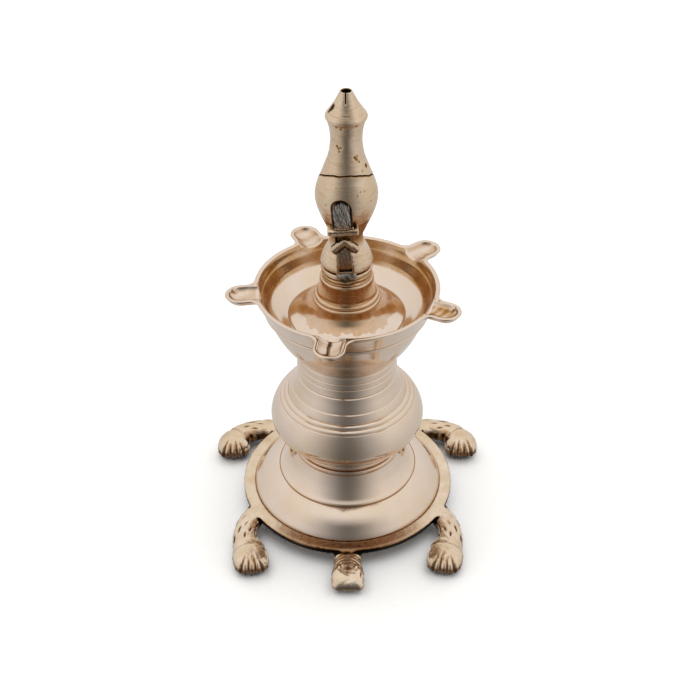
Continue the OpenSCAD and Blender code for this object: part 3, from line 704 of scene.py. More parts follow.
def dishOutline():
    # the rim seen from above: circle arcs joined to each lip by a fillet, a straight side and a round tip.
    # gives the outer edge, the inner edge and the angle each column keeps on the round part of the dish
    f = dishLook
    half, rf, e, c = f["lipHalf"], f["fillet"], f["edge"], f["lipCentre"]
    fx = math.sqrt((f["rim"] + rf) ** 2 - (half + rf) ** 2)
    start = math.atan2(half + rf, fx)
    ang = np.linspace(math.pi - start, math.pi / 2, 13)
    tip = np.linspace(-math.pi / 2, math.pi / 2, 42)
    side = np.linspace(fx, c, 6)[1:-1]
    parts = []
    for edge in (0.0, e):
        filletArc = np.stack([fx + (rf + edge) * np.cos(ang), -(half + rf) + (rf + edge) * np.sin(ang)], 1)
        straight = np.stack([side, 0 * side - half + edge], 1)
        tipArc = np.stack([c + (half - edge) * np.cos(tip), (half - edge) * np.sin(tip)], 1)
        line = np.vstack([filletArc, straight, tipArc[:21]])
        parts.append(np.vstack([line, line[::-1] * [1, -1]]))
    phi = np.concatenate([np.interp(np.linspace(0, 1, 13), [0, 1], [-start, -0.128]),
                          np.linspace(-0.128, -0.108, 6)[1:-1], np.sin(tip[:21]) * 0.108])
    phi = np.concatenate([phi, -phi[::-1]])
    outer, inner, spread = [], [], []
    turns = np.sort(np.radians(np.array(f["turns"]) % 360))
    for k, turn in enumerate(turns):
        m = np.array([[math.cos(turn), math.sin(turn)], [-math.sin(turn), math.cos(turn)]])
        outer.append(parts[0] @ m)
        inner.append(parts[1] @ m)
        spread.append(phi + turn)
        after = turns[(k + 1) % 5] + (2 * math.pi if k == 4 else 0)
        arc = np.linspace(turn + start, after - start, 34)[1:-1]
        ring = np.stack([np.cos(arc), np.sin(arc)], 1)
        outer.append(ring * f["rim"])
        inner.append(ring * (f["rim"] - e))
        spread.append(arc)
    return np.vstack(outer), np.vstack(inner), np.concatenate(spread)


def lipDistance(x, y):
    # distance from the nearest lip's centre line, a segment along its direction
    best = np.full(np.shape(x), 1e9)
    for turn in np.radians(dishLook["turns"]):
        along = x * math.cos(turn) + y * math.sin(turn)
        across = -x * math.sin(turn) + y * math.cos(turn)
        past = along - np.clip(along, dishLook["troughStart"], dishLook["lipCentre"])
        best = np.minimum(best, np.hypot(past, across))
    return best


def makeDish():
    f = dishLook
    z0 = rimLevel
    drop = rimLevel - coneFoot
    h = rimLevel - vaseTop
    outer, inner, phi = dishOutline()
    ring = np.stack([np.cos(phi), np.sin(phi)], 1)
    inside, insideHollow = profile([[[38.7, 0.6], [38.55, -0.3]], [[38.0, -1.4], [37.4, -3.0],
                       [36.95, -3.9]], [[36.5, -4.35], [36.2, -5.0]],
                      [[35.4, -7.2], [34.7, -8.9], [33.5, -10.45], [31.5, -11.8], [29.0, -13.0],
                       [27.2, -13.9], [25.75, 1.2 - drop]],
                      [[25.6, 0.1 - drop]], [[0, 0.1 - drop]]], 190, 0.3)
    outside, outsideHollow = profile([[[0, -11 - h], [7.2, -11 - h]], [[8, -10.2 - h]],
                       [[8, -h]], [[22.3, -h]],
                       [[22.75, 0.5 - h]],
                       [[24.0, 2.3 - h], [25.8, 4.6 - h], [28.4, 8.1 - h], [30.8, 12.2 - h],
                        [32.9, 16.8 - h], [34.5, 20.8 - h], [35.25, -11.5]],
                       [[35.35, -11.15]],
                       [[36.1, -11.0], [36.5, -10.4], [36.25, -9.75]],
                       [[36.05, -9.5]], [[36.6, -9.2]],
                       [[38.3, -5.4], [39.9, -1.8], [40.4, -0.7]]], 300, 0.3)
    rows, dark = [], []
    # outside: plain rings up to the wall, then rows that spread out under the lips
    below = outside[:, 1] < -9.15
    low = outside[below]
    rows.append(np.concatenate([low[:, None, :1] * ring[None], low[:, None, 1:] + 0 * ring[None, :, :1]], -1))
    dark.append(np.maximum(outsideHollow[below][:, None], 0.12) + 0 * phi)
    wall = outside[~below]
    t = np.linspace(0, 1, 40)[1:][:, None, None]
    flat = (f["outerRing"] * ring)[None] * (1 - t) + outer[None] * t
    r = np.hypot(flat[..., 0], flat[..., 1])
    d = lipDistance(flat[..., 0], flat[..., 1])
    web = np.minimum(2 - np.sqrt(np.clip(f["underRound"] ** 2 - d ** 2, 0, None)), -0.8)
    wallZ = np.interp(r, wall[:, 0], wall[:, 1], right=0.5)
    z = np.where(t[..., 0] > 0.999, -0.62, softMin(web, wallZ, 1.0) * (t[..., 0] < 0.999))
    rows.append(np.dstack([flat, z]))
    dark.append(np.maximum(gauss(wallZ - web, 1.1) * (d < 8) * (t[..., 0] < 0.98) * 0.7, 0.14))
    # rim: a narrow crowned band between the outer and the inner edge
    across = np.array([0.02, 0.06, 0.14, 0.26, 0.42, 0.6, 0.72, 0.82, 0.91])[:, None, None]
    lift = np.array([-0.36, -0.2, -0.08, 0.0, 0.0, -0.03, -0.1, -0.22, -0.38])[:, None, None]
    flat = outer[None] * (1 - across) + inner[None] * across
    rows.append(np.dstack([flat, lift[..., 0] + 0 * flat[..., 0]]))
    dark.append(0 * flat[..., 0])
    # inside: rows that gather from the lips' edges to the mouth ring, then plain rings
    t = np.linspace(0, 1, 44)[:-1][:, None, None]
    flat = inner[None] * (1 - t) + (f["mouthRing"] * ring)[None] * t
    curve = inside[inside[:, 0] >= f["mouthRing"] - 0.05][::-1]

    def bottom(x, y, plain):
        # a lip's hollow is a spoon: depth times (1 - (distance / half width)^2)^0.75, a little uneven
        d = lipDistance(x, y)
        deep = np.clip(1 - (d / f["spoonHalf"]) ** 2, 0, None) ** 0.75
        trough = 0.35 - (f["spoonDepth"] + 0.35) * deep + 0.04 * np.sin(x * 1.1 + y * 0.7) * deep
        return softMin(trough, plain, 0.9), d

    r = np.hypot(flat[..., 0], flat[..., 1])
    plain = np.interp(r, curve[:, 0], curve[:, 1], right=3.0)
    z, d = bottom(flat[..., 0], flat[..., 1], plain)
    z = np.minimum(z, -0.42)
    rows.append(np.dstack([flat, z]))
    px, py = flat[..., 0], flat[..., 1]
    patch = (0.66 + 0.2 * np.sin(px * 0.6 + py * 0.4 + 1.0) + 0.14 * np.sin(px * 1.3 - py * 1.7)
             - 0.5 * step(r, 44.0, 50.0))
    lipGold = step(r, 38.6, 40.0) * (0.24 + 0.1 * np.sin(px * 0.5 - py * 0.8) + 0.14 * gauss(d - 4.4, 0.7))
    frontRight = step(flat[..., 0], 20, 36) * step(-flat[..., 1], -5, 10)
    soot = step(-z, 1.3, 2.4) * (r > 39.0) * np.clip(patch, 0.05, 1) * frontRight
    dark.append(np.maximum(np.maximum(soot, lipGold), 0.54 * step(d, 4.5, 6.5) * (r < 39.2)))
    low = inside[inside[:, 0] < f["mouthRing"]]
    lowHollow = insideHollow[inside[:, 0] < f["mouthRing"]]
    flat = low[:, None, :1] * ring[None]
    z, d = bottom(flat[..., 0], flat[..., 1], low[:, None, 1] + 0 * phi)
    rows.append(np.dstack([flat, z]))
    wallGold = step(low[:, :1], 33.0, 34.2) * (0.56 + 0.08 * np.sin(phi * 5) + 0.05 * np.sin(phi * 17))
    dark.append(np.maximum(lowHollow[:, None] * 0.8 + 0 * phi, wallGold))
    grid = np.vstack(rows)
    grid[..., 2] += z0
    piece = wrapGrid("oilDish", grid, np.vstack(dark))
    finishPiece(piece, "dish", "oil_dish", polishedBrass)


makeDish()


def dullCone(r, z, a, crevice):
    # the buff hardly reached the cone's waist: golden there, with a jagged edge where the bright flare begins
    edge = 20.6 + 0.5 * np.sin(5 * a) + 0.45 * np.sign(np.sin(17 * a + np.sin(6 * a))) + 0.3 * np.sin(31 * a)
    dull = 1 - step(r, edge, edge + 0.5)
    return r, np.maximum(crevice * 0.8, dull * (0.4 + 0.05 * np.sin(a * 3)) * (z > 0.2))


def makeCone():
    h = collarTop - coneFoot
    spans = [[[20.7, 0], [25.6, 0]], [[25.7, 1.25]], [[25.2, 1.6]],
             [[23.2, 2.3], [21.0, 3.2], [18.9, 4.5], [17.2, 6.0], [16.0, 7.8], [15.3, 9.6],
              [14.75, 10.9], [14.0, 11.35]],
             [[14.3, 12.0], [14.0, 12.75], [13.35, 13.05]], [[12.9, 13.15]],
             [[12.55, 14.0], [12.2, 16], [11.75, h - 1.6]],
             [[11.55, h - 0.5], [11.1, h]], [[8.5, h]], [[8.5, h - 10.2]],
             [[6.45, h - 10.2]], [[6.45, 3]], [[20.7, 0]]]
    piece = turned("collarCone", spans, coneFoot, count=230, closed=True, rounding=0.2, wobble=0.02,
                   ripple=dullCone)
    finishPiece(piece, "dish", "collar_cone", polishedBrass)


threadLook = dict(pitch=1.75, depth=0.95, top=4.0)


def threadRipple(r, z, a, crevice):
    # a worn thread: the radius follows |sin| of height less turn, with dents where the hand-filed turns break
    f = threadLook
    phase = (z - f["pitch"] * a / (2 * np.pi)) / f["pitch"] * np.pi + 0.25 * np.sin(3 * a + 1.0)
    ridge = np.abs(np.sin(phase)) ** 0.55
    zone = step(z, 0.15, 0.5) * (1 - step(z, f["top"] - 0.45, f["top"] - 0.1)) * (r > 9)
    chip = gauss(np.sin(a * 2.5 + z * 0.8) - 0.95, 0.12) * 0.3
    low = (1 - ridge) * zone
    darkening = np.clip(0.22 + low * 2.2, 0, 1)
    return r - (low * f["depth"] + chip * ridge * zone), np.maximum(crevice * 0.5, darkening)


def makePlug():
    top = ringFoot - collarTop
    spans = [[[0, -9.2], [7.75, -9.2]], [[8.45, -8.5]], [[8.45, 0.02]],
             [[10.5, 0.02]], [[10.75, 0.3], [10.85, top * 0.5], [10.75, top - 0.3]],
             [[10.5, top]], [[6.05, top]], [[6.05, top - 3.8]],
             [[0, top - 3.8]]]
    piece = turned("threadedPlug", spans, collarTop, count=220, segments=256, rounding=0.1,
                   ripple=threadRipple)
    finishPiece(piece, "plug", "reservoir_plug", polishedBrass)


makeCone()
makePlug()


spoutLook = dict(tilt=math.radians(-3.5), knobHalf=4.15, voxel=0.2, solderVoxel=0.18)
bulbLook = dict(slope=math.tan(math.radians(23.9)), seam=44.5, gap=0.32, bore=6.95, spigot=6.9, vent=1.75)
bulbSpans = [[[10.6, 0], [11.1, 0.35], [11.2, 0.9], [10.95, 1.5]], [[10.15, 1.75]],
             [[9.9, 2.15], [10.15, 2.6]], [[11.05, 2.75]],
             [[11.3, 3.3], [11.2, 4.4], [10.7, 5.9], [9.9, 8.1], [8.9, 10.2], [7.9, 12.3], [7.2, 14.3],
              [6.9, 16], [7.1, 17.8], [7.9, 19.5], [9.1, 22.4], [10.4, 25.4], [11.5, 28.2], [12.4, 31],
              [12.9, 33.2],
              [13.12, 35.4], [13.0, 37.6], [12.6, 39.6], [12, 41.6], [11.2, 43.9], [10.3, 46], [9.3, 48.8],
              [8.4, 51.2], [7.5, 53.9], [6.9, 57], [6.6, 59.6], [6.5, 61.2], [6.6, 63], [6.9, 65.6],
              [7.3, 67.6],
              [7.8, 69.3], [8.35, 70.4]],
             [[8.58, 70.95], [8.5, 71.6], [8.15, 72.2]],
             [[6.66, 74.3], [5.5, 76], [4.3, 78.1], [3.2, 80.2], [2.75, 81.1]],
             [[2.5, 81.7], [2.2, 81.88]]]


def seamHeight(line, angle, above):
    # where each column's outline meets the slanting seam plane z = seam - slope * y, and a slight waver of it
    waver = 0.13 * np.sin(5 * angle + 1.0) + 0.08 * np.sin(9 * angle + 2.4) + 0.05 * np.sin(17 * angle)
    level = bulbLook["seam"] + above + waver
    g = line[:, 1:] + bulbLook["slope"] * line[:, :1] * np.sin(angle) - level
    k = np.argmax(g > 0, axis=0)
    lo, hi = g[k - 1, np.arange(len(angle))], g[k, np.arange(len(angle))]
    t = lo / (lo - hi)
    return line[k - 1, 1] * (1 - t) + line[k, 1] * t, level


def seamRounding(away):
    # the seam's edge is eased over its last quarter millimetre: (1 - distance / 0.25)^2 * 0.16
    return np.clip(1 - away / 0.25, 0, 1) ** 2 * 0.16


def polar(r, z, angle, base):
    return np.stack([r * np.cos(angle), r * np.sin(angle), z + base + 0 * r], -1)


def dents(x, y, z, spots):
    # a few shallow knocks: sum of small bells round the given places (angle in degrees, height, size, depth)
    total = 0 * x
    r0 = np.hypot(x, y)
    for turn, level, size, depth in spots:
        a = math.radians(turn)
        gap = np.hypot(np.hypot(x - r0 * math.cos(a), y - r0 * math.sin(a)), z - level)
        total = total + depth * gauss(gap, size)
    return total


def makeReservoir():
    f = bulbLook
    angle = np.linspace(0, 2 * np.pi, 256, endpoint=False)
    line, hollow = profile(bulbSpans, 900, 0.16)
    # bowl: outside up to the seam, slanting seam face, then the bore and the cavity
    top, level = seamHeight(line, angle, 0.0)
    low = line[line[:, 1] < 22][::2]
    foot = np.array([[0.0, -3.4], [5.6, -3.4], [6.0, -3.0], [6.0, -0.02], [10.3, 0.0]])
    foot = resample(foot, spacing=0.4)
    fixed = np.vstack([foot, low])
    r1 = fixed[:, :1] + 0 * angle
    z1 = fixed[:, 1:] + 0 * angle
    t = np.linspace(0, 1, 96)[1:, None]
    zTop = low[-1, 1] + (top - low[-1, 1]) * t
    rTop = np.interp(zTop, line[:, 1], line[:, 0]) - seamRounding(top - zTop)
    faceR = np.linspace(0.12, 1, 8)[:, None]
    edgeR = rTop[-1]
    faceR = edgeR * (1 - faceR) + f["bore"] * faceR
    faceZ = level - f["slope"] * faceR * np.sin(angle)
    boreEnd = np.array([[f["bore"], 38.4], [11.1, 36], [11.1, 34], [9.7, 29.4], [7.3, 24.6], [3.6, 20],
                        [0.0, 19]])
    boreEnd = resample(boreEnd, spacing=0.8)
    r = np.vstack([r1, rTop, faceR, boreEnd[:, :1] + 0 * angle])
    z = np.vstack([z1, zTop, faceZ, boreEnd[:, 1:] + 0 * angle])
    lift = np.vstack([z1 * 0 - 99, zTop - top, faceZ * 0, boreEnd[:, 1:] * 0 + 0 * angle - 99])
    lowHollow, topHollow = (np.interp(at, line[:, 1], hollow) for at in (low[:, 1], zTop))
    # the slanted seam face is dark as a joint, and the bore inside is painted black as shade
    dark = np.vstack([np.concatenate([np.zeros(len(foot)), lowHollow])[:, None] + 0 * angle, topHollow,
                      0 * faceZ + 1, 0 * boreEnd[:, 1:] + 0 * angle + 1])
    dark = np.maximum(dark, gauss(lift + 0.05, 0.22) * 0.95)
    dark = np.maximum(dark, gauss(z - 2.1, 0.34) * (r > 9) * 0.95)  # black groove over the bead ring
    r = np.maximum(r, 0.02)
    x, y = r * np.cos(angle), r * np.sin(angle)
    spots = [(-70, 41.0, 0.5, 0.10), (-62, 42.2, 0.4, 0.12), (-52, 42.0, 0.5, 0.10), (-112, 44.0, 0.5, 0.08),
             (-40, 37, 0.6, 0.08), (-130, 36, 0.7, 0.08), (60, 40, 0.6, 0.1), (150, 34, 0.5, 0.1)]
    knocks = dents(x, y, z, spots)
    r = r - knocks * (r > 11.5)
    dark = np.maximum(dark, knocks * 4.5)
    # golden, unbuffed zone under the bulb with a scalloped upper edge, and painted shadow on the bowl round,
    # beside and below the spout's knob
    scallop = 25.3 + 0.7 * np.abs(np.sin(2.5 * angle + 0.6)) + 0.3 * np.sin(7 * angle)
    zone = step(z, 11.0, 16.0) * (1 - step(z, scallop, scallop + 0.5))
    dark = np.maximum(dark, (zone * 0.42 + gauss(z - scallop, 0.3) * 0.2) * (r > 6.8))
    across = x + math.tan(-spoutLook["tilt"]) * z
    overTop = np.where(z < 35.2, np.abs(across), np.hypot(across, z - 35.2)) - 3.95
    dark = np.maximum(dark, gauss(overTop, 0.42) * (y < -6) * step(z, 24, 26))
    dark = np.maximum(dark, gauss(across - 5.0, 0.9) * gauss(z - 27.0, 2.6) * (y < -6))
    dark = np.maximum(dark, gauss(across + 4.9, 0.5) * gauss(z - 25.5, 1.4) * (y < -6) * 0.9)
    dark = np.maximum(dark, gauss(across, 4.6) * gauss(z - 21.0, 5.0) * (y < -4) * 0.5)
    piece = wrapGrid("reservoirBowl", polar(r, z, angle, ringFoot), dark)
    finishPiece(piece, "reservoir", "reservoir_bowl", brushedBrass)
    # cap: outside from the seam to the tip, down through the vent, along the spigot and back to the seam
    foot, level = seamHeight(line, angle, f["gap"])
    t = np.linspace(0, 1, 110)[:, None]
    z1 = foot + (56 - foot) * t
    r1 = np.interp(z1, line[:, 1], line[:, 0]) - seamRounding(z1 - foot)
    high = line[line[:, 1] > 56.1][::2]
    tip = np.array([[2.2, 81.88], [1.95, 81.75], [f["vent"], 81.3], [f["vent"], 77], [4.6, 70], [4.6, 58],
                    [5.3, 50], [5.3, 38], [6.5, 38], [f["spigot"], 38.4]])
    tip = resample(tip, spacing=0.5)[1:]
    shoulderZ = level - f["slope"] * f["spigot"] * np.sin(angle)
    t = np.linspace(0, 1, 14)[1:, None]
    z3 = 38.4 + (shoulderZ - 38.4) * t
    t = np.linspace(0, 1, 9)[1:-1, None]
    r4 = f["spigot"] * (1 - t) + r1[0] * t
    z4 = level - f["slope"] * r4 * np.sin(angle)
    r = np.vstack([r1, high[:, :1] + 0 * angle, tip[:, :1] + 0 * angle, 0 * z3 + f["spigot"], r4])
    z = np.vstack([z1, high[:, 1:] + 0 * angle, tip[:, 1:] + 0 * angle, z3, z4])
    highRows, tipRows = high[:, 1:] * 0 + 0 * angle, tip[:, 1:] * 0 + 0 * angle
    onSkin = np.vstack([z1 * 0 + 1, highRows + 1, tipRows, z3 * 0, z4 * 0])
    lift = np.vstack([z1 - foot, highRows + 99, tipRows + 99, z3 * 0 + 9, z4 * 0])
    # the seam edge is dark as a joint, and the inside faces below the tip are painted black as shade
    dark = np.maximum(gauss(lift, 0.22) * 0.95, np.where(onSkin > 0, 0, 1.0) * (z < 81.7))
    x, y = r * np.cos(angle), r * np.sin(angle)
    # slit down from the vent, at the front
    side = np.where(y < 0, np.abs(x + 0.25), 9)
    slit = gauss(side, 0.24) * step(z, 77.2, 78.4) * onSkin
    r = r - slit * 0.85
    dark = np.maximum(dark, slit * 1.3)
    spots = [(-163, 75.5, 1.1, 0.45), (-167, 73.9, 0.7, 0.3), (-120, 69.4, 0.6, 0.16),
             (-105, 68.6, 0.5, 0.16),
             (-60, 69.8, 0.7, 0.14), (-125, 60.3, 0.6, 0.2), (-118, 59.4, 0.5, 0.18), (-109, 59.9, 0.5, 0.16),
             (-114, 58.2, 0.5, 0.16), (-62, 55.6, 0.6, 0.2), (-56, 54.6, 0.6, 0.18), (-48, 53.4, 0.5, 0.18),
             (-52, 56, 0.5, 0.14), (-55, 46.8, 0.45, 0.16), (-44, 49.5, 0.5, 0.12), (-22, 50.5, 0.8, 0.3),
             (95, 60, 0.7, 0.16), (30, 57, 0.6, 0.15), (150, 54, 0.7, 0.15), (80, 70, 0.6, 0.15)]
    knocks = dents(x, y, z, spots) * onSkin
    r = r - knocks
    dark = np.maximum(dark, knocks * 4.0)
    piece = wrapGrid("reservoirCap", polar(r, z, angle, ringFoot), dark, True)
    finishPiece(piece, "cap", "reservoir_cap", brushedBrass)


makeReservoir()


def tilted(verts):
    # turns about the Y axis through the bead ring's foot, then lifts to the ring
    c, s = math.cos(spoutLook["tilt"]), math.sin(spoutLook["tilt"])
    x, y, z = verts[:, 0], verts[:, 1], verts[:, 2]
    return np.stack([x * c + z * s, y, z * c - x * s + ringFoot], 1)


def block(a, b, halfX, halfY, power=7.0, up=(0, -1, 0), spacing=0.3):
    # straight bar from a to b with a rounded-box section; its ends draw in a little
    a, b = np.array(a, float), np.array(b, float)
    length = np.linalg.norm(b - a)
    cut = min(0.35, length * 0.2) / length
    places = np.array([0, cut, 0.5, 1 - cut, 1])
    rows = a + (b - a) * places[:, None]
    scale = np.array([0.86, 1, 1, 1, 0.86])
    return sweep(rows, halfX * scale, halfY * scale, power=power, up=up, spacing=spacing, sides=48)


def makeSpout():
    f = spoutLook
    k = f["knobHalf"]
    front = (0, -1, 0)
    up = (0, 0, 1)
    knob = np.array([[0, -9.0, 22.5, k * 0.97, 1.9], [0, -11.0, 25.5, k, 1.9], [0, -12.2, 28.5, k, 1.75],
                     [0, -12.85, 31.5, k, 1.5], [0, -13.05, 34.0, k * 0.97, 1.25],
                     [0, -12.95, 36.6, k * 0.84, 1.1],
                     [0, -12.75, 38.3, k * 0.6, 0.95], [0, -12.5, 39.4, k * 0.32, 0.75]])
    tongue = np.array([[0, -10.2, 18.9, 3.0, 1.1], [0, -11.9, 18.1, 3.3, 1.15], [0, -12.8, 16.0, 3.5, 1.1],
                       [0, -13.1, 12.5, 3.55, 1.1], [0, -13.1, 9.2, 3.5, 1.05], [0, -12.9, 7.2, 3.3, 0.8]])
    shapes = [sweep(knob[:, :3], knob[:, 3], knob[:, 4], 3.2, 48, front, 0.25),
              sweep(tongue[:, :3], tongue[:, 3], tongue[:, 4], 4.0, 40, front, 0.25),
              block([-4.6, -10.2, 24.6], [6.4, -10.2, 24.6], 3.3, 1.45, up=up),
              block([-6.4, -10.2, 24.6], [-4.0, -10.2, 24.6], 3.2, 1.6, 2.6, up=up),
              block([-3.2, -10.7, 25.9], [4.4, -10.7, 25.9], 2.1, 0.85, up=up),
              block([0, -9.9, 23.5], [0, -9.9, 18.0], 3.55, 2.15),
              block([0.9, -12.45, 20.8], [-4.9, -12.4, 16.0], 1.45, 2.1, 4.0),
              block([-0.3, -12.45, 20.8], [5.6, -12.4, 15.8], 1.45, 2.1, 4.0),
              block([0, -11.7, 9.6], [0, -11.7, 4.6], 2.9, 0.8),
              block([-2.3, -13.0, 5.3], [2.3, -13.0, 5.3], 0.8, 0.55, 3.0, up=up)]
    for side in (-3.25, 3.25):
        rail = [[side, -11.8, 17.0], [side, -12.8, 14.0], [side, -13.0, 9.0], [side * 0.97, -12.8, 4.9]]
        shapes.append(sweep(rail, 0.5, 1.15, 4.0, 24, front, 0.25))
    piece = joinGrids("feedSpout", shapes)
    weld(piece, f["voxel"], 2)
    v, n, edges = readSkin(piece)
    x, y, z = v.T
    faceOut = step(-n[:, 1], 0.15, 0.6)
    # knob: combed lengthwise by the file, tinned grey, black round its edge
    knobPart = step(z, 26.3, 27.2) * (y < -8)
    comb = 0.5 + 0.5 * np.sin(x * 7.4 + 1.3 * np.sin(z * 0.8 + x) + 0.9 * np.sin(z * 2.9 + x * 2.0))
    comb *= 0.5 + 0.5 * np.sin(x * 2.3 + 1.0 + z * 0.7)
    dent = knobPart * faceOut * comb * 0.3
    rim = step(np.abs(x), k * 0.72, k * 1.0) + step(z - 36.5 + np.abs(x) * 0.5, 2.0, 3.6)
    dark = knobPart * np.clip(0.1 + 0.55 * step(comb, 0.25, 0.9) + 0.8 * rim, 0, 1)
    # painted shade on the knob's sides, which face away from the front
    dark = np.maximum(dark, knobPart * (1 - faceOut) * 0.9)
    # tongue: filed grey, its mouth and walls golden, the mouth's back painted darker as shade, and a painted
    # shadow where it dips under the gable
    strip = step(z, 8.0, 9.0) * (1 - step(z, 17.5, 18.5)) * (np.abs(x) < 2.6) * faceOut * (y < -12.5)
    dent += strip * (0.06 + 0.03 * np.sin(x * 4.0 + 0.6 * np.sin(z)))
    dark = np.maximum(dark, strip * (0.26 + 0.1 * np.sin(x * 2.1 + 0.5 * z) ** 2))
    mouth = (z < 8.9 - 0.5 * np.cos(x * 2.6)) * (np.abs(x) < 3.9)
    dark = np.maximum(dark, mouth * (0.3 + 0.3 * step(y, -13.2, -12.4)))
    dark = np.maximum(dark, (z < 19.4) * (z > 15) * (np.abs(x) < 3.6) * step(y, -13.0, -12.2) * 0.9)
    # bar: a line along its face; stem: golden, with a painted shadow for the gap at its right
    line = gauss(z - 24.9, 0.22) * (y < -12.9) * (np.abs(x) < 6.2)
    dent += line * 0.25
    dark = np.maximum(dark, line * 0.6)
    stem = (z < 23.1) * (z > 17.5) * (y > -12.35)
    dark = np.maximum(dark, stem * (0.4 + 0.6 * step(np.abs(x - 0.4), 2.6, 3.4)))
    # the gable's front a little golden, and darker on its downward faces as painted shade
    roof = (z < 22) * (z > 15) * (y < -12.4)
    dark = np.maximum(dark, roof * (0.2 + 0.35 * step(-n[:, 2], -0.2, 0.5)))
    soft = average(v, edges, 5)
    hollow = ((soft - v) * n).sum(1)  # how far the skin lies below its surroundings
    dark = np.maximum(dark, np.clip(hollow * 12, 0, 1))
    # painted shade on faces that look downwards
    dark = np.maximum(dark, step(-n[:, 2], 0.35, 0.9) * 0.8)
    tin = np.clip(knobPart * faceOut * 0.95 + strip * 0.4, 0, 1)
    lump = 0.06 * np.sin(2.1 * x + 1.7 * z) * np.sin(1.9 * y - 1.3 * z) + 0.03 * np.sin(5 * x + 3 * z)
    v = v + n * (lump - dent)[:, None]
    writeVerts(piece, tilted(v))
    setCrevice(piece, average(dark, edges, 1))
    values = piece.data.attributes.new("tinned", "FLOAT", "POINT")
    values.data.foreach_set("value", average(tin, edges, 1).astype(np.float32))
    finishPiece(piece, "reservoir", "feed_spout", castBrass)


def makeSolder():
    lumps = np.array([[-4.0, -11.0, 2.5, 0.9, 1.0], [-3.2, -11.3, 2.6, 1.5, 1.6],
                      [-1.8, -11.9, 2.9, 2.1, 2.2],
                      [-0.2, -12.3, 3.1, 2.4, 2.5], [1.4, -12.2, 3.0, 2.2, 2.3], [2.8, -11.6, 2.6, 1.6, 1.7],
                      [3.9, -11.1, 2.4, 0.9, 1.0]])
    shapes = [sweep(lumps[:, :3], lumps[:, 3], lumps[:, 4], 2.0, 40, (0, 0, 1), 0.25)]
    for a, b, w in (([-1.6, -12.2, 4.2], [0.4, -12.7, 5.0], 1.3),
                    ([1.0, -12.6, 4.0], [2.2, -12.0, 3.6], 1.1)):
        shapes.append(block(a, b, w, w, 2.0))
    piece = joinGrids("spoutSolder", shapes)
    weld(piece, spoutLook["solderVoxel"], 3)
    v, n = readSkin(piece)[:2]
    x, z = v[:, 0], v[:, 2]
    lump = 0.12 * np.sin(1.6 * x + 0.8) * np.sin(1.4 * z + x) + 0.03 * np.sin(6.1 * x + 4.3 * z)
    v = v + n * lump[:, None]
    writeVerts(piece, tilted(v))
    # darker in the lumps' lows, and painted shade on faces that look downwards
    setCrevice(piece, np.clip(-lump * 3 + 0.15, 0, 1) + step(-n[:, 2], 0.2, 0.8) * 0.7)
    finishPiece(piece, "reservoir", "spout_solder", softSolder)


makeSpout()
makeSolder()


stageLook = dict(floorSize=6.0, floorRows=24, fibre=2.5, gapFrom=0.02, gapTo=1.2, gapDark=0.8,
                 fadeFrom=0.72, fadeTo=0.97, tent=((0.0, 0.62), (0.35, 0.74), (0.55, 0.84), (1.0, 1.0)),
                 lampSize=2.6, lampPower=20.0, lampPlace=(0.0, 0.1, 1.8), lampAim=(0, 0, 0.1))


def makeStage():
    mat = bpy.data.materials.new("matt white paper sweep")  # plain studio paper: no gloss, faint fibre
    mat.use_nodes = True
    tree = mat.node_tree
    tree.nodes.clear()
    place = addNode(tree, "TexCoord").outputs["Object"]
    fibre = addNode(tree, "TexNoise", {"Vector": place, "Scale": 1000 / stageLook["fibre"],
                                          "Detail": 3.0})
    tone = addNode(tree, "ValToRGB", {"Fac": fibre},
                   [(0.0, colour("#f7f6f5")), (1.0, colour("#fcfcfb"))])
    shader = addNode(tree, "BsdfPrincipled", {"Base Color": tone, "Roughness": 0.9,
                                                        "Specular IOR Level": 0.1})
    addNode(tree, "OutputMaterial", {"Surface": shader})
    s = stageLook["floorSize"] / 2
    g = np.linspace(-s, s, stageLook["floorRows"])
    x, y = np.meshgrid(g, g)
    mesh = bpy.data.meshes.new("paperFloor")
    verts = np.stack([x, y, 0 * x], -1).reshape(-1, 3)
    faces = gridFaces(len(g), len(g)).reshape(len(g) - 1, len(g), 4)[:, :-1].reshape(-1, 4)
    mesh.from_pydata(verts.tolist(), [], faces.tolist())
    floor = bpy.data.objects.new("paperFloor", mesh)
    bpy.context.scene.collection.objects.link(floor)
    mesh.materials.append(mat)
    floor.visible_glossy = False  # the metal mirrors the light tent, not the paper


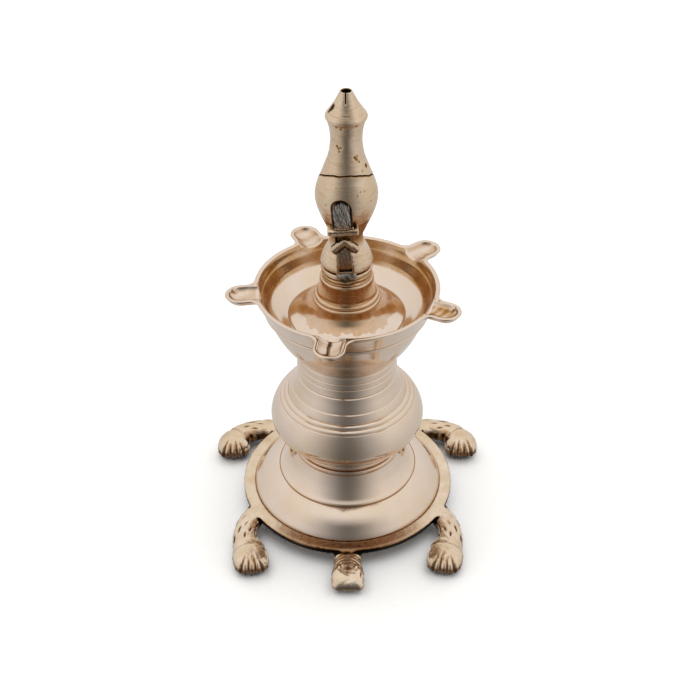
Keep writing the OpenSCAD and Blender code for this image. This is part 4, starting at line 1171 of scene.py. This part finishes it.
def makeLight():
    # an all-round white tent with a soft dark gap on the -Y side, and a big softbox that no metal mirrors
    world = bpy.data.worlds.new("white light tent")
    bpy.context.scene.world = world
    world.use_nodes = True
    tree = world.node_tree
    tree.nodes.clear()
    f = stageLook
    way = addNode(tree, "TexCoord").outputs["Generated"]
    ahead = addNode(tree, "VectorMath", {0: way, 1: (1, -1, 1)}, operation="MULTIPLY")
    xyz = addNode(tree, "SeparateXYZ", {0: ahead})
    turn = addNode(tree, "Math", {0: xyz.outputs[0], 1: xyz.outputs[1]}, operation="ARCTAN2")
    aside = addNode(tree, "Math", {0: turn}, operation="ABSOLUTE")
    gap = addNode(tree, "MapRange", {0: aside, 1: f["gapFrom"], 2: f["gapTo"], 3: f["gapDark"], 4: 0.0},
                  interpolation_type="SMOOTHSTEP")
    fade = addNode(tree, "MapRange", {0: xyz.outputs[2], 1: f["fadeFrom"], 2: f["fadeTo"], 3: 1.0, 4: 0.0},
                   interpolation_type="SMOOTHSTEP")
    loss = addNode(tree, "Math", {0: gap, 1: fade}, operation="MULTIPLY")
    rise = addNode(tree, "MapRange", {0: xyz.outputs[2], 1: -1.0, 2: 1.0})
    level = addNode(tree, "ValToRGB", {"Fac": rise}, [(place, grey(v)) for place, v in f["tent"]])
    glow = addNode(tree, "Mix", {0: loss, 2: level, 3: 0.0}, data_type="FLOAT")
    back = addNode(tree, "Background", {"Color": colour("#fffefc"), "Strength": glow})
    addNode(tree, "OutputWorld", {"Surface": back})
    lamp = bpy.data.lights.new("overhead softbox", "AREA")
    lamp.shape = "DISK"
    lamp.size = f["lampSize"]
    lamp.energy = f["lampPower"]
    piece = bpy.data.objects.new("overhead softbox", lamp)
    piece.location = f["lampPlace"]
    piece.visible_glossy = False
    bpy.context.scene.collection.objects.link(piece)
    aim(piece, f["lampAim"])


def aim(thing, target, roll=0.0):
    way = Vector(target) - thing.location
    turn = way.to_track_quat("-Z", "Y").to_matrix()
    thing.rotation_euler = (turn @ Matrix.Rotation(roll, 3, "Z")).to_euler()


cameraLook = dict(lens=66.857, sensor=36, shift=(0.00424, 0.0041), near=0.05, away=0.58531, rise=37.37,
                  target=0.08562, roll=-0.2)


def makeCamera():
    f = cameraLook
    lens = bpy.data.cameras.new("camera")
    lens.lens, lens.sensor_width, lens.clip_start = f["lens"], f["sensor"], f["near"]
    lens.shift_x, lens.shift_y = f["shift"]
    cam = bpy.data.objects.new("camera", lens)
    bpy.context.scene.collection.objects.link(cam)
    rise = math.radians(f["rise"])
    target = (0, 0, f["target"])
    cam.location = (0, -f["away"] * math.cos(rise), target[2] + f["away"] * math.sin(rise))
    aim(cam, target, math.radians(f["roll"]))
    bpy.context.scene.camera = cam
    bpy.context.scene.view_settings.view_transform = "Standard"


makeStage()
makeLight()
makeCamera()
print("stage ready")
